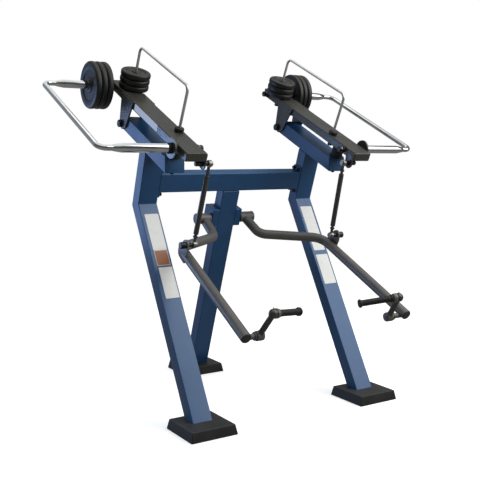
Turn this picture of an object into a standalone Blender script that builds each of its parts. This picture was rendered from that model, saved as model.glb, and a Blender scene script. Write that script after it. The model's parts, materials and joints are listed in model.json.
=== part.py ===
# Outdoor biceps machine with two lever stations, metres, +Z up, X to the machine's right, +Y to its back.
# A blue frame of rectangular tube carries two weight levers; each lever is lifted by a bent arm and a rod.

import math

import bmesh
import bpy
from mathutils import Euler, Matrix, Vector

# Driving dimensions
collectionName = "outdoor_biceps_machine"
datumBack = -0.4283          # moves the drawing's zero to the middle of the footprint
gap = 0.0003                 # between touching pieces

tubeWidth = 0.120            # frame tube, across X
tubeDepth = 0.080
tubeRound = 0.006
stationX = 0.563             # centre plane of a station

kneeY, kneeZ = 0.684, 1.170  # front corner of the knee
postLean = math.radians(18.93)
legLean = math.radians(29.8)
frontFootY = 0.054
rearFootY = 1.122
footBase = 0.280
footTop = 0.258
footHeight = 0.056
footWall = 0.004
basePlateSize = 0.200
basePlateThick = 0.012

crossBottomZ = 1.2325
crossHeight = 0.115
flangeThick = 0.012
flangeOver = 0.030

pivotY, pivotZ = 0.880, 1.636   # axis of a weight lever
leverTilt = math.radians(24.9)
beamTop, beamBottom = 0.051, -0.029
beamRear = -0.012
beamFrontY = 0.342
bushRadius = 0.028
bushShy = 0.0008             # the bearing tube ends this far inside the beam's sides
pinRadius = 0.012
capRadius = 0.0228
bracketThick = 0.0115
bumperRadius, bumperAlong = 0.032, -0.558

leverTop, leverBottom = 0.173, 0.123
leverFront, leverRear = -0.780, 0.263
railLow, railHigh = -0.665, 0.216
railReach = 1.0555
railBend = 0.045
sleeveRadius = 0.024
sleeveEnd = 0.936
taperEnd = 0.982
thinRadius = 0.015
discX = 0.648
discRadius = 0.055
discThick = 0.009
studRadius = 0.012
smallRailX = 0.5335
smallRailLow, smallRailHigh = -0.502, 0.129
smallRailTop = 0.4286
smallRailRadius = 0.008
smallRailBend = 0.035

plateRadius, plateThick, plateBore = 0.1395, 0.0358, 0.0262
plateStart = 0.674
smallPlateRadius, smallPlateThick, smallPlateBore = 0.089, 0.0352, 0.0100

hubY, hubZ = 0.750, 1.063       # axis of both arms
hubStart, hubEnd, hubRadius = 0.108, 0.205, 0.034
axleRadius = 0.016
housingHalf = 0.1035
housingHeight = 0.112
housingBack = 0.030
armRadius = 0.0275
shoulderBend, elbowBend = 0.080, 0.120
armShoulder = (0.162, 0.597, 0.965)   # corners of the arm's centre line
armElbow = (0.500, 0.400, 0.941)
armEnd = (0.531, -0.320, 0.575)

rodTop = (0.458, 0.156, 1.410)
rodLow = (0.480, 0.286, 0.968)
rodRadius = 0.0115
eyeHalf = 0.0105
boltRadius = 0.008
openPivotClearance = 0.0045
lugInner, lugThick = 0.521, 0.010
hangerInner, hangerThick = 0.4945, 0.008

swivel = (0.432, -0.285, 0.5700)
swivelHalf = 0.021
ball = (0.4125, -0.379, 0.6952)
gripEnd = (0.1973, -0.3014, 0.6690)
gripRadius = 0.0170

leftSide, rightSide = -1, 1
sideName = {leftSide: "left", rightSide: "right"}

# Colours of the finishes
frameBlue = (0.035, 0.085, 0.215)
leverGrey = (0.085, 0.082, 0.076)
armGrey = (0.070, 0.069, 0.066)
rubberBlack = (0.022, 0.022, 0.023)
capBlack = (0.012, 0.012, 0.013)
chromeSteel = (0.82, 0.82, 0.83)
zincSteel = (0.42, 0.41, 0.39)


def clearScene():
    for thing in list(bpy.data.objects):
        bpy.data.objects.remove(thing, do_unlink=True)
    for group in list(bpy.data.collections):
        bpy.data.collections.remove(group)


def makeCollection(name):
    group = bpy.data.collections.new(name)
    bpy.context.scene.collection.children.link(group)
    return group


def makeMaterial(name, colour, metallic, roughness):
    material = bpy.data.materials.new(name)
    material.use_nodes = True
    shader = material.node_tree.nodes["Principled BSDF"]
    shader.inputs["Base Color"].default_value = (*colour, 1.0)
    shader.inputs["Metallic"].default_value = metallic
    shader.inputs["Roughness"].default_value = roughness
    return material


# Working pieces: each helper gives a mesh object in the drawing's coordinates

def wrapMesh(mesh):
    thing = bpy.data.objects.new("working", mesh)
    bpy.context.scene.collection.objects.link(thing)
    return thing


def evaluatedMesh(thing):
    """Apply the object's modifiers and give its mesh, welded."""
    graph = bpy.context.evaluated_depsgraph_get()
    graph.update()
    mesh = bpy.data.meshes.new_from_object(thing.evaluated_get(graph), depsgraph=graph)
    shape = bmesh.new()
    shape.from_mesh(mesh)
    bmesh.ops.remove_doubles(shape, verts=shape.verts, dist=0.000001)
    shape.to_mesh(mesh)
    shape.free()
    return mesh


def applied(thing):
    """Swap an object for a plain mesh object whose transform is in its mesh."""
    mesh = evaluatedMesh(thing)
    mesh.transform(thing.matrix_basis)
    bpy.data.objects.remove(thing, do_unlink=True)
    return wrapMesh(mesh)


def bevelled(thing, width, segments=2, angle=30):
    if width > 0:
        bevel = thing.modifiers.new("bevel", "BEVEL")
        bevel.width = width
        bevel.segments = segments
        bevel.limit_method = "ANGLE"
        bevel.angle_limit = math.radians(angle)
    return applied(thing)


def block(xRange, yRange, zRange, round=0.0, segments=2):
    bpy.ops.mesh.primitive_cube_add(size=1)
    thing = bpy.context.object
    low = [min(pair) for pair in (xRange, yRange, zRange)]
    high = [max(pair) for pair in (xRange, yRange, zRange)]
    size = [b - a for a, b in zip(low, high)]
    centre = [(a + b) / 2 for a, b in zip(low, high)]
    thing.data.transform(Matrix.Translation(centre) @ Matrix.Diagonal((*size, 1)))
    return bevelled(thing, round, segments)


def plateOutline(points, xRange, round=0.0, segments=2):
    """Extrude a closed outline of (y, z) points along X."""
    curve = bpy.data.curves.new("outline", "CURVE")
    curve.dimensions = "2D"
    curve.fill_mode = "BOTH"
    curve.extrude = abs(xRange[1] - xRange[0]) / 2
    spline = curve.splines.new("POLY")
    spline.points.add(len(points) - 1)
    for point, (y, z) in zip(spline.points, points):
        point.co = (y, z, 0, 1)
    spline.use_cyclic_u = True
    flat = bpy.data.objects.new("outline", curve)
    bpy.context.scene.collection.objects.link(flat)
    flat.matrix_basis = Matrix.Translation(((xRange[0] + xRange[1]) / 2, 0, 0)) \
        @ Euler((math.radians(90), 0, math.radians(90))).to_matrix().to_4x4()
    thing = applied(flat)
    return bevelled(thing, round, segments) if round else thing


def turned(profile, steps=32):
    """Turn a (radius, height) profile about Z; the outer side runs top to bottom."""
    onAxis = profile[0][0] == 0 and profile[-1][0] == 0
    count = len(profile)
    edges = [(i, i + 1) for i in range(count - 1)]
    if not onAxis:
        edges.append((count - 1, 0))
    mesh = bpy.data.meshes.new("profile")
    mesh.from_pydata([(radius, 0, height) for radius, height in profile], edges, [])
    thing = wrapMesh(mesh)
    screw = thing.modifiers.new("screw", "SCREW")
    screw.axis = "Z"
    screw.steps = steps
    screw.render_steps = steps
    screw.use_merge_vertices = True
    screw.merge_threshold = 0.0001
    solid = applied(thing)
    shape = bmesh.new()
    shape.from_mesh(solid.data)
    poles = [vertex for vertex in shape.verts if vertex.co.xy.length < 0.00001]
    bmesh.ops.dissolve_verts(shape, verts=poles)
    shape.to_mesh(solid.data)
    shape.free()
    return solid


def moved(thing, matrix):
    thing.data.transform(matrix)
    if matrix.to_3x3().determinant() < 0:
        thing.data.flip_normals()
    return thing


def alongLine(start, end):
    """Matrix that lays local +Z on the line from start to end, with its zero at start."""
    direction = (Vector(end) - Vector(start)).normalized()
    return Matrix.Translation(start) @ direction.to_track_quat("Z", "Y").to_matrix().to_4x4()


def rod(start, end, radius, steps=24, chamfer=0.0):
    length = (Vector(end) - Vector(start)).length
    c = chamfer
    profile = [(0, length), (radius - c, length), (radius, length - c), (radius, c), (radius - c, 0), (0, 0)]
    if c == 0:
        profile = [(0, length), (radius, length), (radius, 0), (0, 0)]
    return moved(turned(profile, steps), alongLine(start, end))


def ring(start, end, outer, inner, steps=28, chamfer=0.0):
    length = (Vector(end) - Vector(start)).length
    c = chamfer
    if c:
        profile = [(inner, length), (outer - c, length), (outer, length - c), (outer, c), (outer - c, 0),
                   (inner, 0)]
    else:
        profile = [(inner, length), (outer, length), (outer, 0), (inner, 0)]
    return moved(turned(profile, steps), alongLine(start, end))


def steppedRod(origin, direction, sections, steps=24, chamfer=0.0):
    """Shaft with several diameters, from (start, end, radius) sections that follow on from each other."""
    profile = []
    for index, (start, end, radius) in enumerate(sections):
        before = sections[index - 1][2] if index else 0
        after = sections[index + 1][2] if index < len(sections) - 1 else 0
        low = min(chamfer, (end - start) / 3) if radius > before else 0
        high = min(chamfer, (end - start) / 3) if radius > after else 0
        profile += [(radius - low, start), (radius, start + low)] if low else [(radius, start)]
        profile += [(radius, end - high), (radius - high, end)] if high else [(radius, end)]
    profile = [(0, sections[0][0])] + profile + [(0, sections[-1][1])]
    base = Vector(origin)
    return moved(turned(profile[::-1], steps), alongLine(base, base + Vector(direction)))


def roundedPath(corners, bends, steps=6):
    """Straight runs between corners, with a circular arc of the given radius at each inner corner."""
    points = [Vector(corners[0])]
    for index in range(1, len(corners) - 1):
        before, corner, after = (Vector(corners[index + k]) for k in (-1, 0, 1))
        inward = (before - corner).normalized()
        outward = (after - corner).normalized()
        turn = math.pi - inward.angle(outward)
        radius = bends[index - 1]
        reach = radius * math.tan(turn / 2)
        centre = corner + (inward + outward).normalized() * (radius / math.cos(turn / 2))
        first = (corner + inward * reach - centre).normalized()
        last = (corner + outward * reach - centre).normalized()
        for step in range(steps + 1):
            points.append(centre + first.slerp(last, step / steps) * radius)
    points.append(Vector(corners[-1]))
    return points


def sweptTube(points, radius, resolution=4):
    curve = bpy.data.curves.new("path", "CURVE")
    curve.dimensions = "3D"
    curve.bevel_depth = radius
    curve.bevel_resolution = resolution
    curve.use_fill_caps = True
    spline = curve.splines.new("POLY")
    spline.points.add(len(points) - 1)
    for point, place in zip(spline.points, points):
        point.co = (*place, 1)
    tube = bpy.data.objects.new("tube", curve)
    bpy.context.scene.collection.objects.link(tube)
    return applied(tube)


def combine(base, others, operation):
    for other in others:
        step = base.modifiers.new(operation, "BOOLEAN")
        step.operation = operation
        step.solver = "EXACT"
        step.object = other
    mesh = evaluatedMesh(base)
    for thing in (base, *others):
        bpy.data.objects.remove(thing, do_unlink=True)
    return wrapMesh(mesh)


def joined(base, *others):
    return combine(base, others, "UNION")


def cut(base, *cutters):
    return combine(base, cutters, "DIFFERENCE")


def leverMatrix():
    """Lever coordinates (x, along the lever to the rear, square to its top) to the drawing's."""
    return Matrix.Translation((0, pivotY, pivotZ)) @ Matrix.Rotation(leverTilt, 4, "X")


def onLever(x, along, up):
    return leverMatrix() @ Vector((x, along, up))


def lineMeet(pointA, directionA, pointB, directionB):
    """Where two lines of the (y, z) plane meet."""
    cross = directionA[0] * directionB[1] - directionA[1] * directionB[0]
    dy, dz = pointB[0] - pointA[0], pointB[1] - pointA[1]
    t = (dy * directionB[1] - dz * directionB[0]) / cross
    return (pointA[0] + directionA[0] * t, pointA[1] + directionA[1] * t)


# Bodies: an empty on each joint's axis carries the pieces that move with it

class Bodies:
    def __init__(self, collection):
        self.collection = collection
        self.places = {}
        self.empties = {}

    def add(self, name, place, parent=None):
        empty = bpy.data.objects.new(name + "_axis", None)
        empty.empty_display_size = 0.05
        self.collection.objects.link(empty)
        self.places[name] = Vector(place)
        self.empties[name] = empty
        if parent:
            empty.parent = self.empties[parent]
            empty.location = self.places[name] - self.places[parent]
        else:
            empty.location = place

    def carry(self, piece, name, body, material, smooth=True):
        """Name a working piece, give it its finish and hang it on its body."""
        origin = self.places[body] - Vector((0, datumBack, 0))
        piece.data.transform(Matrix.Translation(-origin))
        piece.name = name
        piece.data.name = name
        piece.data.materials.clear()
        piece.data.materials.append(material)
        if smooth:
            piece.data.shade_smooth()
            piece.data.set_sharp_from_angle(angle=math.radians(32))
        for group in list(piece.users_collection):
            group.objects.unlink(piece)
        self.collection.objects.link(piece)
        piece.parent = self.empties[body]
        return piece


def atSide(point, side):
    """A drawing point of the right station, on the given side, in world coordinates."""
    return Vector((side * point[0], point[1] + datumBack, point[2]))


# Frame

def slabFront(z):
    """Front plane that the posts, the crossbeam and the rear leg share."""
    return kneeY - math.tan(postLean) * (z - kneeZ)


def frontLeg(side):
    """Lower leg and upper post of one tube size, mitred at the knee, in one weldment."""
    lowerDir = (math.sin(legLean), math.cos(legLean))
    postDir = (-math.sin(postLean), math.cos(postLean))
    lowerDepth = tubeDepth / math.cos(legLean)
    postDepth = tubeDepth / math.cos(postLean)
    knee = (kneeY, kneeZ)
    kneeRear = lineMeet((kneeY + lowerDepth, kneeZ), lowerDir, (kneeY + postDepth, kneeZ), postDir)
    bottomZ = basePlateThick + gap
    floorDir = (1, 0)
    bottomFront = lineMeet(knee, lowerDir, (0, bottomZ), floorDir)
    bottomRear = lineMeet(kneeRear, lowerDir, (0, bottomZ), floorDir)
    under = onLever(0, 0, beamBottom - gap)
    beamDir = (math.cos(leverTilt), math.sin(leverTilt))
    topFront = lineMeet(knee, postDir, (under.y, under.z), beamDir)
    topRear = lineMeet(kneeRear, postDir, (under.y, under.z), beamDir)
    outline = [bottomFront, knee, topFront, topRear, kneeRear, bottomRear]
    half = tubeWidth / 2
    return plateOutline(outline, (side * stationX - half, side * stationX + half), tubeRound)


def baseBeam(side):
    """Sloping tube with a plumb front end and the lever's bearing tube welded to its rear end."""
    frontTop = lineMeet((beamFrontY, 0), (0, 1), tuple(onLever(0, 0, beamTop).yz),
                        (math.cos(leverTilt), math.sin(leverTilt)))
    frontBottom = lineMeet((beamFrontY, 0), (0, 1), tuple(onLever(0, 0, beamBottom).yz),
                           (math.cos(leverTilt), math.sin(leverTilt)))
    rearTop = onLever(0, beamRear, beamTop)
    rearBottom = onLever(0, beamRear, beamBottom)
    outline = [frontBottom, frontTop, tuple(rearTop.yz), tuple(rearBottom.yz)]
    half = tubeWidth / 2
    centre = side * stationX
    beam = plateOutline(outline, (centre - half, centre + half), tubeRound)
    reach = half - bushShy
    bush = rod((centre - reach, pivotY, pivotZ), (centre + reach, pivotY, pivotZ), bushRadius, 28, 0.002)
    bore = rod((centre - half - 0.01, pivotY, pivotZ), (centre + half + 0.01, pivotY, pivotZ),
               pinRadius + gap, 20)
    return cut(joined(beam, bush), bore)


def pivotPin(side):
    """Bolt through the lever's bracket and bearing tube, with a round cap on each end."""
    half = tubeWidth / 2 + bracketThick + 2 * gap
    capLength = 0.028
    sections = [(-half - capLength, -half, capRadius), (-half, half, pinRadius),
                (half, half + capLength, capRadius)]
    return steppedRod((side * stationX, pivotY, pivotZ), (side, 0, 0), sections, 20, 0.003)


def crossbeam():
    """Tube between the posts, tilted with them, with a bolting flange at each end."""
    half = stationX - tubeWidth / 2 - gap
    tilt = Matrix.Translation((0, slabFront(crossBottomZ), crossBottomZ)) @ Matrix.Rotation(postLean, 4, "X")
    tube = block((-half + 0.002, half - 0.002), (0, tubeDepth), (0, crossHeight), tubeRound)
    flanges = [block((side * half, side * (half - flangeThick)), (0.003, tubeDepth - 0.003),
                     (-flangeOver, crossHeight + flangeOver), 0.002, 1) for side in (leftSide, rightSide)]
    return moved(joined(tube, *flanges), tilt)


def rearLeg():
    """Rear tube in the posts' plane, from under the crossbeam down to its foot, bored for the axle."""
    slabDir = (-math.sin(postLean), math.cos(postLean))
    front = (slabFront(crossBottomZ), crossBottomZ)
    rear = (front[0] + tubeDepth / math.cos(postLean), crossBottomZ)
    square = (math.cos(postLean), math.sin(postLean))
    topFront = (front[0] - slabDir[0] * gap * 2, front[1] - slabDir[1] * gap * 2)
    topRear = lineMeet(rear, slabDir, topFront, square)
    bottomZ = basePlateThick + gap
    outline = [lineMeet(front, slabDir, (0, bottomZ), (1, 0)), topFront, topRear,
               lineMeet(rear, slabDir, (0, bottomZ), (1, 0))]
    leg = plateOutline(outline, (-tubeWidth / 2, tubeWidth / 2), tubeRound)
    bore = rod((-0.1, hubY, hubZ), (0.1, hubY, hubZ), axleRadius + gap, 24)
    return cut(leg, bore)


def bearingHousing():
    """Two bearing cheeks beside the rear leg, joined by a plate behind it."""
    tilt = Matrix.Translation((0, slabFront(hubZ), hubZ)) @ Matrix.Rotation(postLean, 4, "X")
    low, high = -housingHeight / 2, housingHeight / 2
    body = block((-housingHalf, housingHalf), (0, tubeDepth + housingBack), (low, high), 0.005)
    legSlot = block((-tubeWidth / 2 - gap, tubeWidth / 2 + gap), (-0.05, tubeDepth + gap), (-0.2, 0.2))
    housing = moved(cut(body, legSlot), tilt)
    bore = rod((-0.15, hubY, hubZ), (0.15, hubY, hubZ), axleRadius + gap, 24)
    return cut(housing, bore)


def armAxle():
    return rod((-hubEnd + 0.010, hubY, hubZ), (hubEnd - 0.010, hubY, hubZ), axleRadius, 24, 0.0015)


def basePlate(x, y):
    """Steel plate under a leg, with four anchor holes."""
    half = basePlateSize / 2
    plate = block((x - half, x + half), (y - half, y + half), (0, basePlateThick), 0.001, 1)
    reach = half - 0.022
    holes = [rod((x + i * reach, y + j * reach, -0.01), (x + i * reach, y + j * reach, 0.03), 0.0085, 8)
             for i in (-1, 1) for j in (-1, 1)]
    return cut(plate, *holes)


def taperedBlock(x, y, low, high, bottom, top, round=0.0):
    """Truncated pyramid on a square base, centred on (x, y)."""
    bpy.ops.mesh.primitive_cube_add(size=1)
    thing = bpy.context.object
    for vertex in thing.data.vertices:
        side = top if vertex.co.z > 0 else bottom
        height = high if vertex.co.z > 0 else low
        vertex.co = (x + vertex.co.x * side, y + vertex.co.y * side, height)
    return bevelled(thing, round, 2)


def footCover(x, y, legOutline, legHalf):
    """Open-bottomed cover over a base plate, with a hole that the leg passes through."""
    shell = taperedBlock(x, y, 0, footHeight, footBase, footTop, 0.004)
    slope = (footBase - footTop) / footHeight
    inside = taperedBlock(x, y, -0.01, footHeight - footWall, footBase - 2 * footWall + slope * 0.01,
                          footTop - 2 * footWall + slope * footWall)
    hole = plateOutline(legOutline, (x - legHalf, x + legHalf))
    return cut(shell, inside, hole)


def frontLegHole():
    clear = 0.002
    lowerDir = math.tan(legLean)
    depth = tubeDepth / math.cos(legLean)
    low, high = -0.03, footHeight + 0.03

    def front(z):
        return kneeY - lowerDir * (kneeZ - z) - clear
    return [(front(low), low), (front(high), high), (front(high) + depth + 2 * clear, high),
            (front(low) + depth + 2 * clear, low)]


def rearLegHole():
    clear = 0.002
    depth = tubeDepth / math.cos(postLean)
    low, high = -0.03, footHeight + 0.03
    return [(slabFront(low) - clear, low), (slabFront(high) - clear, high),
            (slabFront(high) + depth + clear, high), (slabFront(low) + depth + clear, low)]


def bumper(side):
    """Rubber stop on the base beam, just under the resting lever."""
    centre = side * stationX
    height = leverBottom - beamTop - 2 * gap
    radius = bumperRadius
    profile = [(0, height), (radius - 0.009, height), (radius - 0.003, height - 0.005),
               (radius, height * 0.55), (radius - 0.002, height * 0.2), (radius - 0.002, 0.006), (radius + 0.005, 0.004),
               (radius + 0.005, 0), (0, 0)]
    stop = turned(profile, 20)
    return moved(stop, leverMatrix() @ Matrix.Translation((centre, bumperAlong, beamTop + gap)))


# Weight lever, in lever coordinates

def leverTube(side):
    """Flat tube with two welded sockets: a short pipe and a disc that stand the big rail off its outer side."""
    half = tubeWidth / 2
    centre = side * stationX
    middle = (leverTop + leverBottom) / 2
    tube = block((centre - half, centre + half), (leverFront, leverRear), (leverBottom, leverTop), 0.005)
    wall = stationX + half
    sockets = []
    bores = []
    for along in (railLow, railHigh):
        sections = [(wall - 0.010, discX, 0.0188), (discX, discX + discThick, discRadius)]
        sockets.append(steppedRod((0, along, middle), (side, 0, 0), sections, 28))
        bores.append(rod((side * (stationX - half - 0.01), along, middle),
                         (side * (discX + discThick + 0.01), along, middle), studRadius + gap, 16))
    for along in (smallRailLow, smallRailHigh):
        bores.append(rod((side * smallRailX, along, leverBottom - 0.01),
                         (side * smallRailX, along, leverTop + 0.01), smallRailRadius + gap, 12))
    return moved(cut(joined(tube, *sockets), *bores), leverMatrix())


def leverBracket(side):
    """Two tapered plates with round ends about the pivot, joined by a web under the lever."""
    endRadius = 0.028
    arc = []
    for step in range(9):
        angle = math.radians(188 + step * 19)
        arc.append((endRadius * 1.9 * math.cos(angle) * 0.5 - 0.014, endRadius * math.sin(angle)))
    frontTop, rearTop = (-0.100, leverTop - 0.004), (0.064, leverTop - 0.004)
    outline = [frontTop] + [(-0.056, 0.0)] + arc[1:-1] + [(0.028, 0.002)] + [(0.054, leverBottom)] + [rearTop]
    half = tubeWidth / 2
    plates = []
    for edge in (-1, 1):
        inside = side * stationX + edge * (half + gap)
        plates.append(plateOutline(outline, (inside, inside + edge * bracketThick), 0.0015, 1))
    reach = half + bracketThick / 2
    web = block((side * stationX - reach, side * stationX + reach), (-0.030, 0.034),
                (leverBottom - 0.012, leverBottom - gap))
    bore = rod((side * stationX - 0.1, 0, 0), (side * stationX + 0.1, 0, 0), pinRadius + gap, 20)
    return moved(cut(joined(*plates, web), bore), leverMatrix())


def bigRail(side):
    """U-shaped chrome rail: a thick sleeve at each end necks down to the thin bent tube."""
    centre = (leverTop + leverBottom) / 2
    start = discX + discThick + gap
    corners = [(side * (sleeveEnd + 0.01), railLow, centre), (side * railReach, railLow, centre),
               (side * railReach, railHigh, centre), (side * (sleeveEnd + 0.01), railHigh, centre)]
    bend = sweptTube(roundedPath(corners, (railBend, railBend), 5), thinRadius, 4)
    sleeves = []
    for along in (railLow, railHigh):
        studEnd = stationX - tubeWidth / 2 - 0.014
        profile = [(0, taperEnd), (thinRadius + 0.0006, taperEnd), (sleeveRadius, sleeveEnd),
                   (sleeveRadius, start), (studRadius, start), (studRadius, studEnd), (0, studEnd)]
        sleeves.append(moved(turned(profile, 20), alongLine((0, along, centre), (side, along, centre))))
    return moved(joined(bend, *sleeves), leverMatrix())


def smallRail(side):
    """Thin chrome rail that stands on the lever's top."""
    x = side * smallRailX
    foot = leverBottom - 0.012
    corners = [(x, smallRailLow, foot), (x, smallRailLow, smallRailTop), (x, smallRailHigh, smallRailTop),
               (x, smallRailHigh, foot)]
    rail = sweptTube(roundedPath(corners, (smallRailBend, smallRailBend), 4), smallRailRadius, 2)
    return moved(rail, leverMatrix())


def stopRing(side):
    """Rubber ring on the lower big sleeve."""
    centre = (leverTop + leverBottom) / 2
    start = discX + discThick + 2 * gap
    return moved(ring((side * start, railLow, centre), (side * (start + 0.020), railLow, centre), 0.0295,
                      sleeveRadius + gap, 20, 0.003), leverMatrix())


def railCollar(side):
    """Rubber collar at the lower foot of the small rail."""
    x = side * smallRailX
    return moved(ring((x, smallRailLow, leverTop + gap), (x, smallRailLow, leverTop + 0.022), 0.0260,
                      smallRailRadius + gap, 20, 0.004), leverMatrix())


def railNut(side, along):
    """Flanged nut with a long cap on the stud of a big sleeve, on the lever's inner side."""
    centre = (leverTop + leverBottom) / 2
    wall = stationX - tubeWidth / 2 - gap
    bore = studRadius + gap
    deep = 0.0150
    profile = [(0, 0.047), (0.0100, 0.047), (0.0150, 0.042), (0.0150, 0.030), (0.0142, 0.030),
               (0.0142, 0.009), (0.0190, 0.009), (0.0190, 0), (bore, 0), (bore, deep), (0, deep)]
    nut = turned(profile, 18)
    return moved(nut, leverMatrix() @ alongLine((side * wall, along, centre), (-side, along, centre)))


def rodBracket(side):
    """Hanger plate on the lever's inner side, with the cross bolt that the push rod hangs on."""
    local = leverMatrix().inverted() @ Vector((0, rodTop[1], rodTop[2]))
    along, up = local.y, local.z
    endRadius = 0.031
    outline = []
    for step in range(9):
        angle = math.radians(190 + step * 20)
        outline.append((along + endRadius * math.cos(angle), up + endRadius * math.sin(angle)))
    outline += [(along + 0.042, leverBottom + 0.006), (along + 0.044, leverTop - 0.020),
                (along + 0.036, leverTop - 0.010), (along + 0.024, leverTop - 0.006),
                (leverFront + 0.008, leverTop - 0.006), (leverFront + 0.002, leverTop - 0.012),
                (leverFront + 0.002, leverBottom)]
    plate = plateOutline(outline, (side * hangerInner, side * (hangerInner + hangerThick)), 0.001, 1)
    face = rodTop[0] + eyeHalf + gap
    inner = rodTop[0] - eyeHalf - gap
    sections = [(rodTop[0] - 0.0180, inner, 0.0130), (inner, face, boltRadius),
                (face, hangerInner + 0.001, 0.0125), (hangerInner + 0.001, 0.506, boltRadius), (0.506, 0.524, 0.0150), (0.524, 0.546, 0.0138)]
    bolt = steppedRod((0, along, up), (side, 0, 0), sections, 14)
    return moved(joined(plate, bolt), leverMatrix())


def weightPlate(radius, thick, bore, steps, rimDepth, hubRadius):
    """Rubber plate turned as one profile: raised rim, recessed outer face, raised hub and a plain bore."""
    c = thick * 0.14
    half = thick / 2
    recess = half - rimDepth
    profile = [(bore, half), (hubRadius, half), (hubRadius + rimDepth, recess), (radius * 0.74, recess),
               (radius * 0.79, half), (radius - c, half), (radius, half - c), (radius, c - half),
               (radius - c, -half), (bore, -half)]
    return turned(profile, steps)


def bigPlate(side, index):
    step = plateThick + gap * 2
    centre = plateStart + plateThick / 2 + index * step
    plate = weightPlate(plateRadius, plateThick, plateBore, 30, 0.006, 0.045)
    place = onLever(side * centre, railHigh, (leverTop + leverBottom) / 2)
    return moved(plate, Matrix.Translation(place) @ Matrix.Rotation(side * math.radians(90), 4, "Y"))


def smallPlate(side, index):
    step = smallPlateThick + gap * 2
    up = leverTop + gap * 2 + smallPlateThick / 2 + index * step
    plate = weightPlate(smallPlateRadius, smallPlateThick, smallPlateBore, 24, 0.004, 0.026)
    return moved(plate, leverMatrix() @ Matrix.Translation((side * smallRailX, smallRailHigh, up)))


# Push rod

def pushRod(side):
    """Rod with a necked end at each eye; the lower eye leaves room round its bolt."""
    top = Vector((side * rodTop[0], rodTop[1], rodTop[2]))
    low = Vector((side * rodLow[0], rodLow[1], rodLow[2]))
    direction = (top - low).normalized()
    length = (top - low).length
    profile = [(0, length - 0.012), (0.0075, length - 0.012), (0.0075, length - 0.040),
               (rodRadius, length - 0.050), (rodRadius, 0.058), (0.0085, 0.048), (0.0085, 0.014), (0, 0.014)]
    shaft = moved(turned(profile, 14), alongLine(low, top))
    nuts = [rod(low + direction * start, low + direction * (start + 0.010), 0.0125, 6)
            for start in (0.046, length - 0.052)]
    across = Vector((side * eyeHalf, 0, 0))
    topEye = rod(top - across, top + across, 0.0185, 20, 0.002)
    lowEye = rod(low - across, low + across, 0.0205, 20, 0.002)
    body = joined(shaft, topEye, lowEye, *nuts)
    topBore = rod(top - across * 3, top + across * 3, boltRadius + gap, 16)
    lowBore = rod(low - across * 3, low + across * 3, boltRadius + openPivotClearance, 16)
    return cut(body, topBore, lowBore)


# Exercise arm

def armTube(side):
    """Round tube: down from the hub, outward to the elbow, then the long straight run to the handle."""
    hubPoint = Vector((side * 0.150, hubY - hubRadius * 0.5, hubZ - hubRadius * 0.35))
    corners = [hubPoint, *(Vector((side * x, y, z)) for x, y, z in (armShoulder, armElbow, armEnd))]
    tube = sweptTube(roundedPath(corners, (shoulderBend, elbowBend), 5), armRadius, 5)
    lugOutline = [(0.262, 0.972), (0.266, 0.986), (0.276, 0.995), (0.290, 0.998), (0.306, 0.995),
                  (0.322, 0.984), (0.368, 0.950), (0.374, 0.934), (0.373, 0.912), (0.318, 0.884),
                  (0.308, 0.882), (0.266, 0.930)]
    lug = plateOutline(lugOutline, (side * lugInner, side * (lugInner + lugThick)))
    x, y, z = swivel
    shoulder = x + swivelHalf + gap
    sections = [(x - swivelHalf - 0.008, shoulder, 0.0110), (shoulder, shoulder + 0.006, 0.0210),
                (shoulder + 0.006, 0.520, 0.0150)]
    spigot = steppedRod((0, y, z), (side, 0, 0), sections, 16)
    body = joined(tube, lug, spigot)
    hubClear = rod((side * (hubStart - 0.05), hubY, hubZ), (side * (hubEnd + 0.05), hubY, hubZ),
                   hubRadius + gap, 28)
    y, z = rodLow[1:]
    boltBore = rod((side * 0.500, y, z), (side * 0.550, y, z), boltRadius + gap, 16)
    return cut(body, hubClear, boltBore)


def armHub(side):
    """Hub tube that turns on the axle, closed by a flat disc at its outer end."""
    run = hubEnd - hubStart
    bore = axleRadius + gap
    profile = [(0, run), (hubRadius - 0.0015, run), (hubRadius, run - 0.0015), (hubRadius, run - 0.007),
               (hubRadius - 0.0015, run - 0.0075), (hubRadius - 0.0015, 0.0015), (hubRadius - 0.003, 0), (bore, 0),
               (bore, run - 0.009), (0, run - 0.009)]
    start = (side * hubStart, hubY, hubZ)
    return moved(turned(profile, 28), alongLine(start, (side * hubEnd, hubY, hubZ)))


def lugBolt(side):
    """Bolt that joins the rod's lower eye to the arm, with a round cap on its outer end."""
    x, y, z = rodLow
    outer = lugInner + lugThick + gap
    sections = [(x - 0.0180, x - eyeHalf - gap, 0.0170), (x - eyeHalf - gap, x + eyeHalf + gap, boltRadius),
                (x + eyeHalf + gap, lugInner - gap, 0.0125), (lugInner - gap, outer, boltRadius),
                (outer, outer + 0.034, 0.0158)]
    return steppedRod((0, y, z), (side, 0, 0), sections, 20, 0.0015)


# Handle

def gripDirection(side):
    start = Vector((side * ball[0], ball[1], ball[2]))
    end = Vector((side * gripEnd[0], gripEnd[1], gripEnd[2]))
    return start, (end - start).normalized(), (end - start).length


def handleLink(side):
    """Swivel knuckle, straight link and bearing collar with the grip's spindle."""
    centre = Vector((side * swivel[0], swivel[1], swivel[2]))
    across = Vector((side * swivelHalf, 0, 0))
    lower = rod(centre - across, centre + across, 0.0235, 20, 0.004)
    start, direction, length = gripDirection(side)
    sections = [(-0.019, 0.012, 0.0220), (0.012, 0.036, 0.0245), (0.036, length - 0.006, 0.0090)]
    upper = steppedRod(start, direction, sections, 20, 0.004)
    bar = rod(centre, start, 0.0125, 14)
    body = joined(lower, bar, upper)
    bore = rod(centre - across * 2, centre + across * 2, 0.0110 + gap, 14)
    return cut(body, bore)


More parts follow.
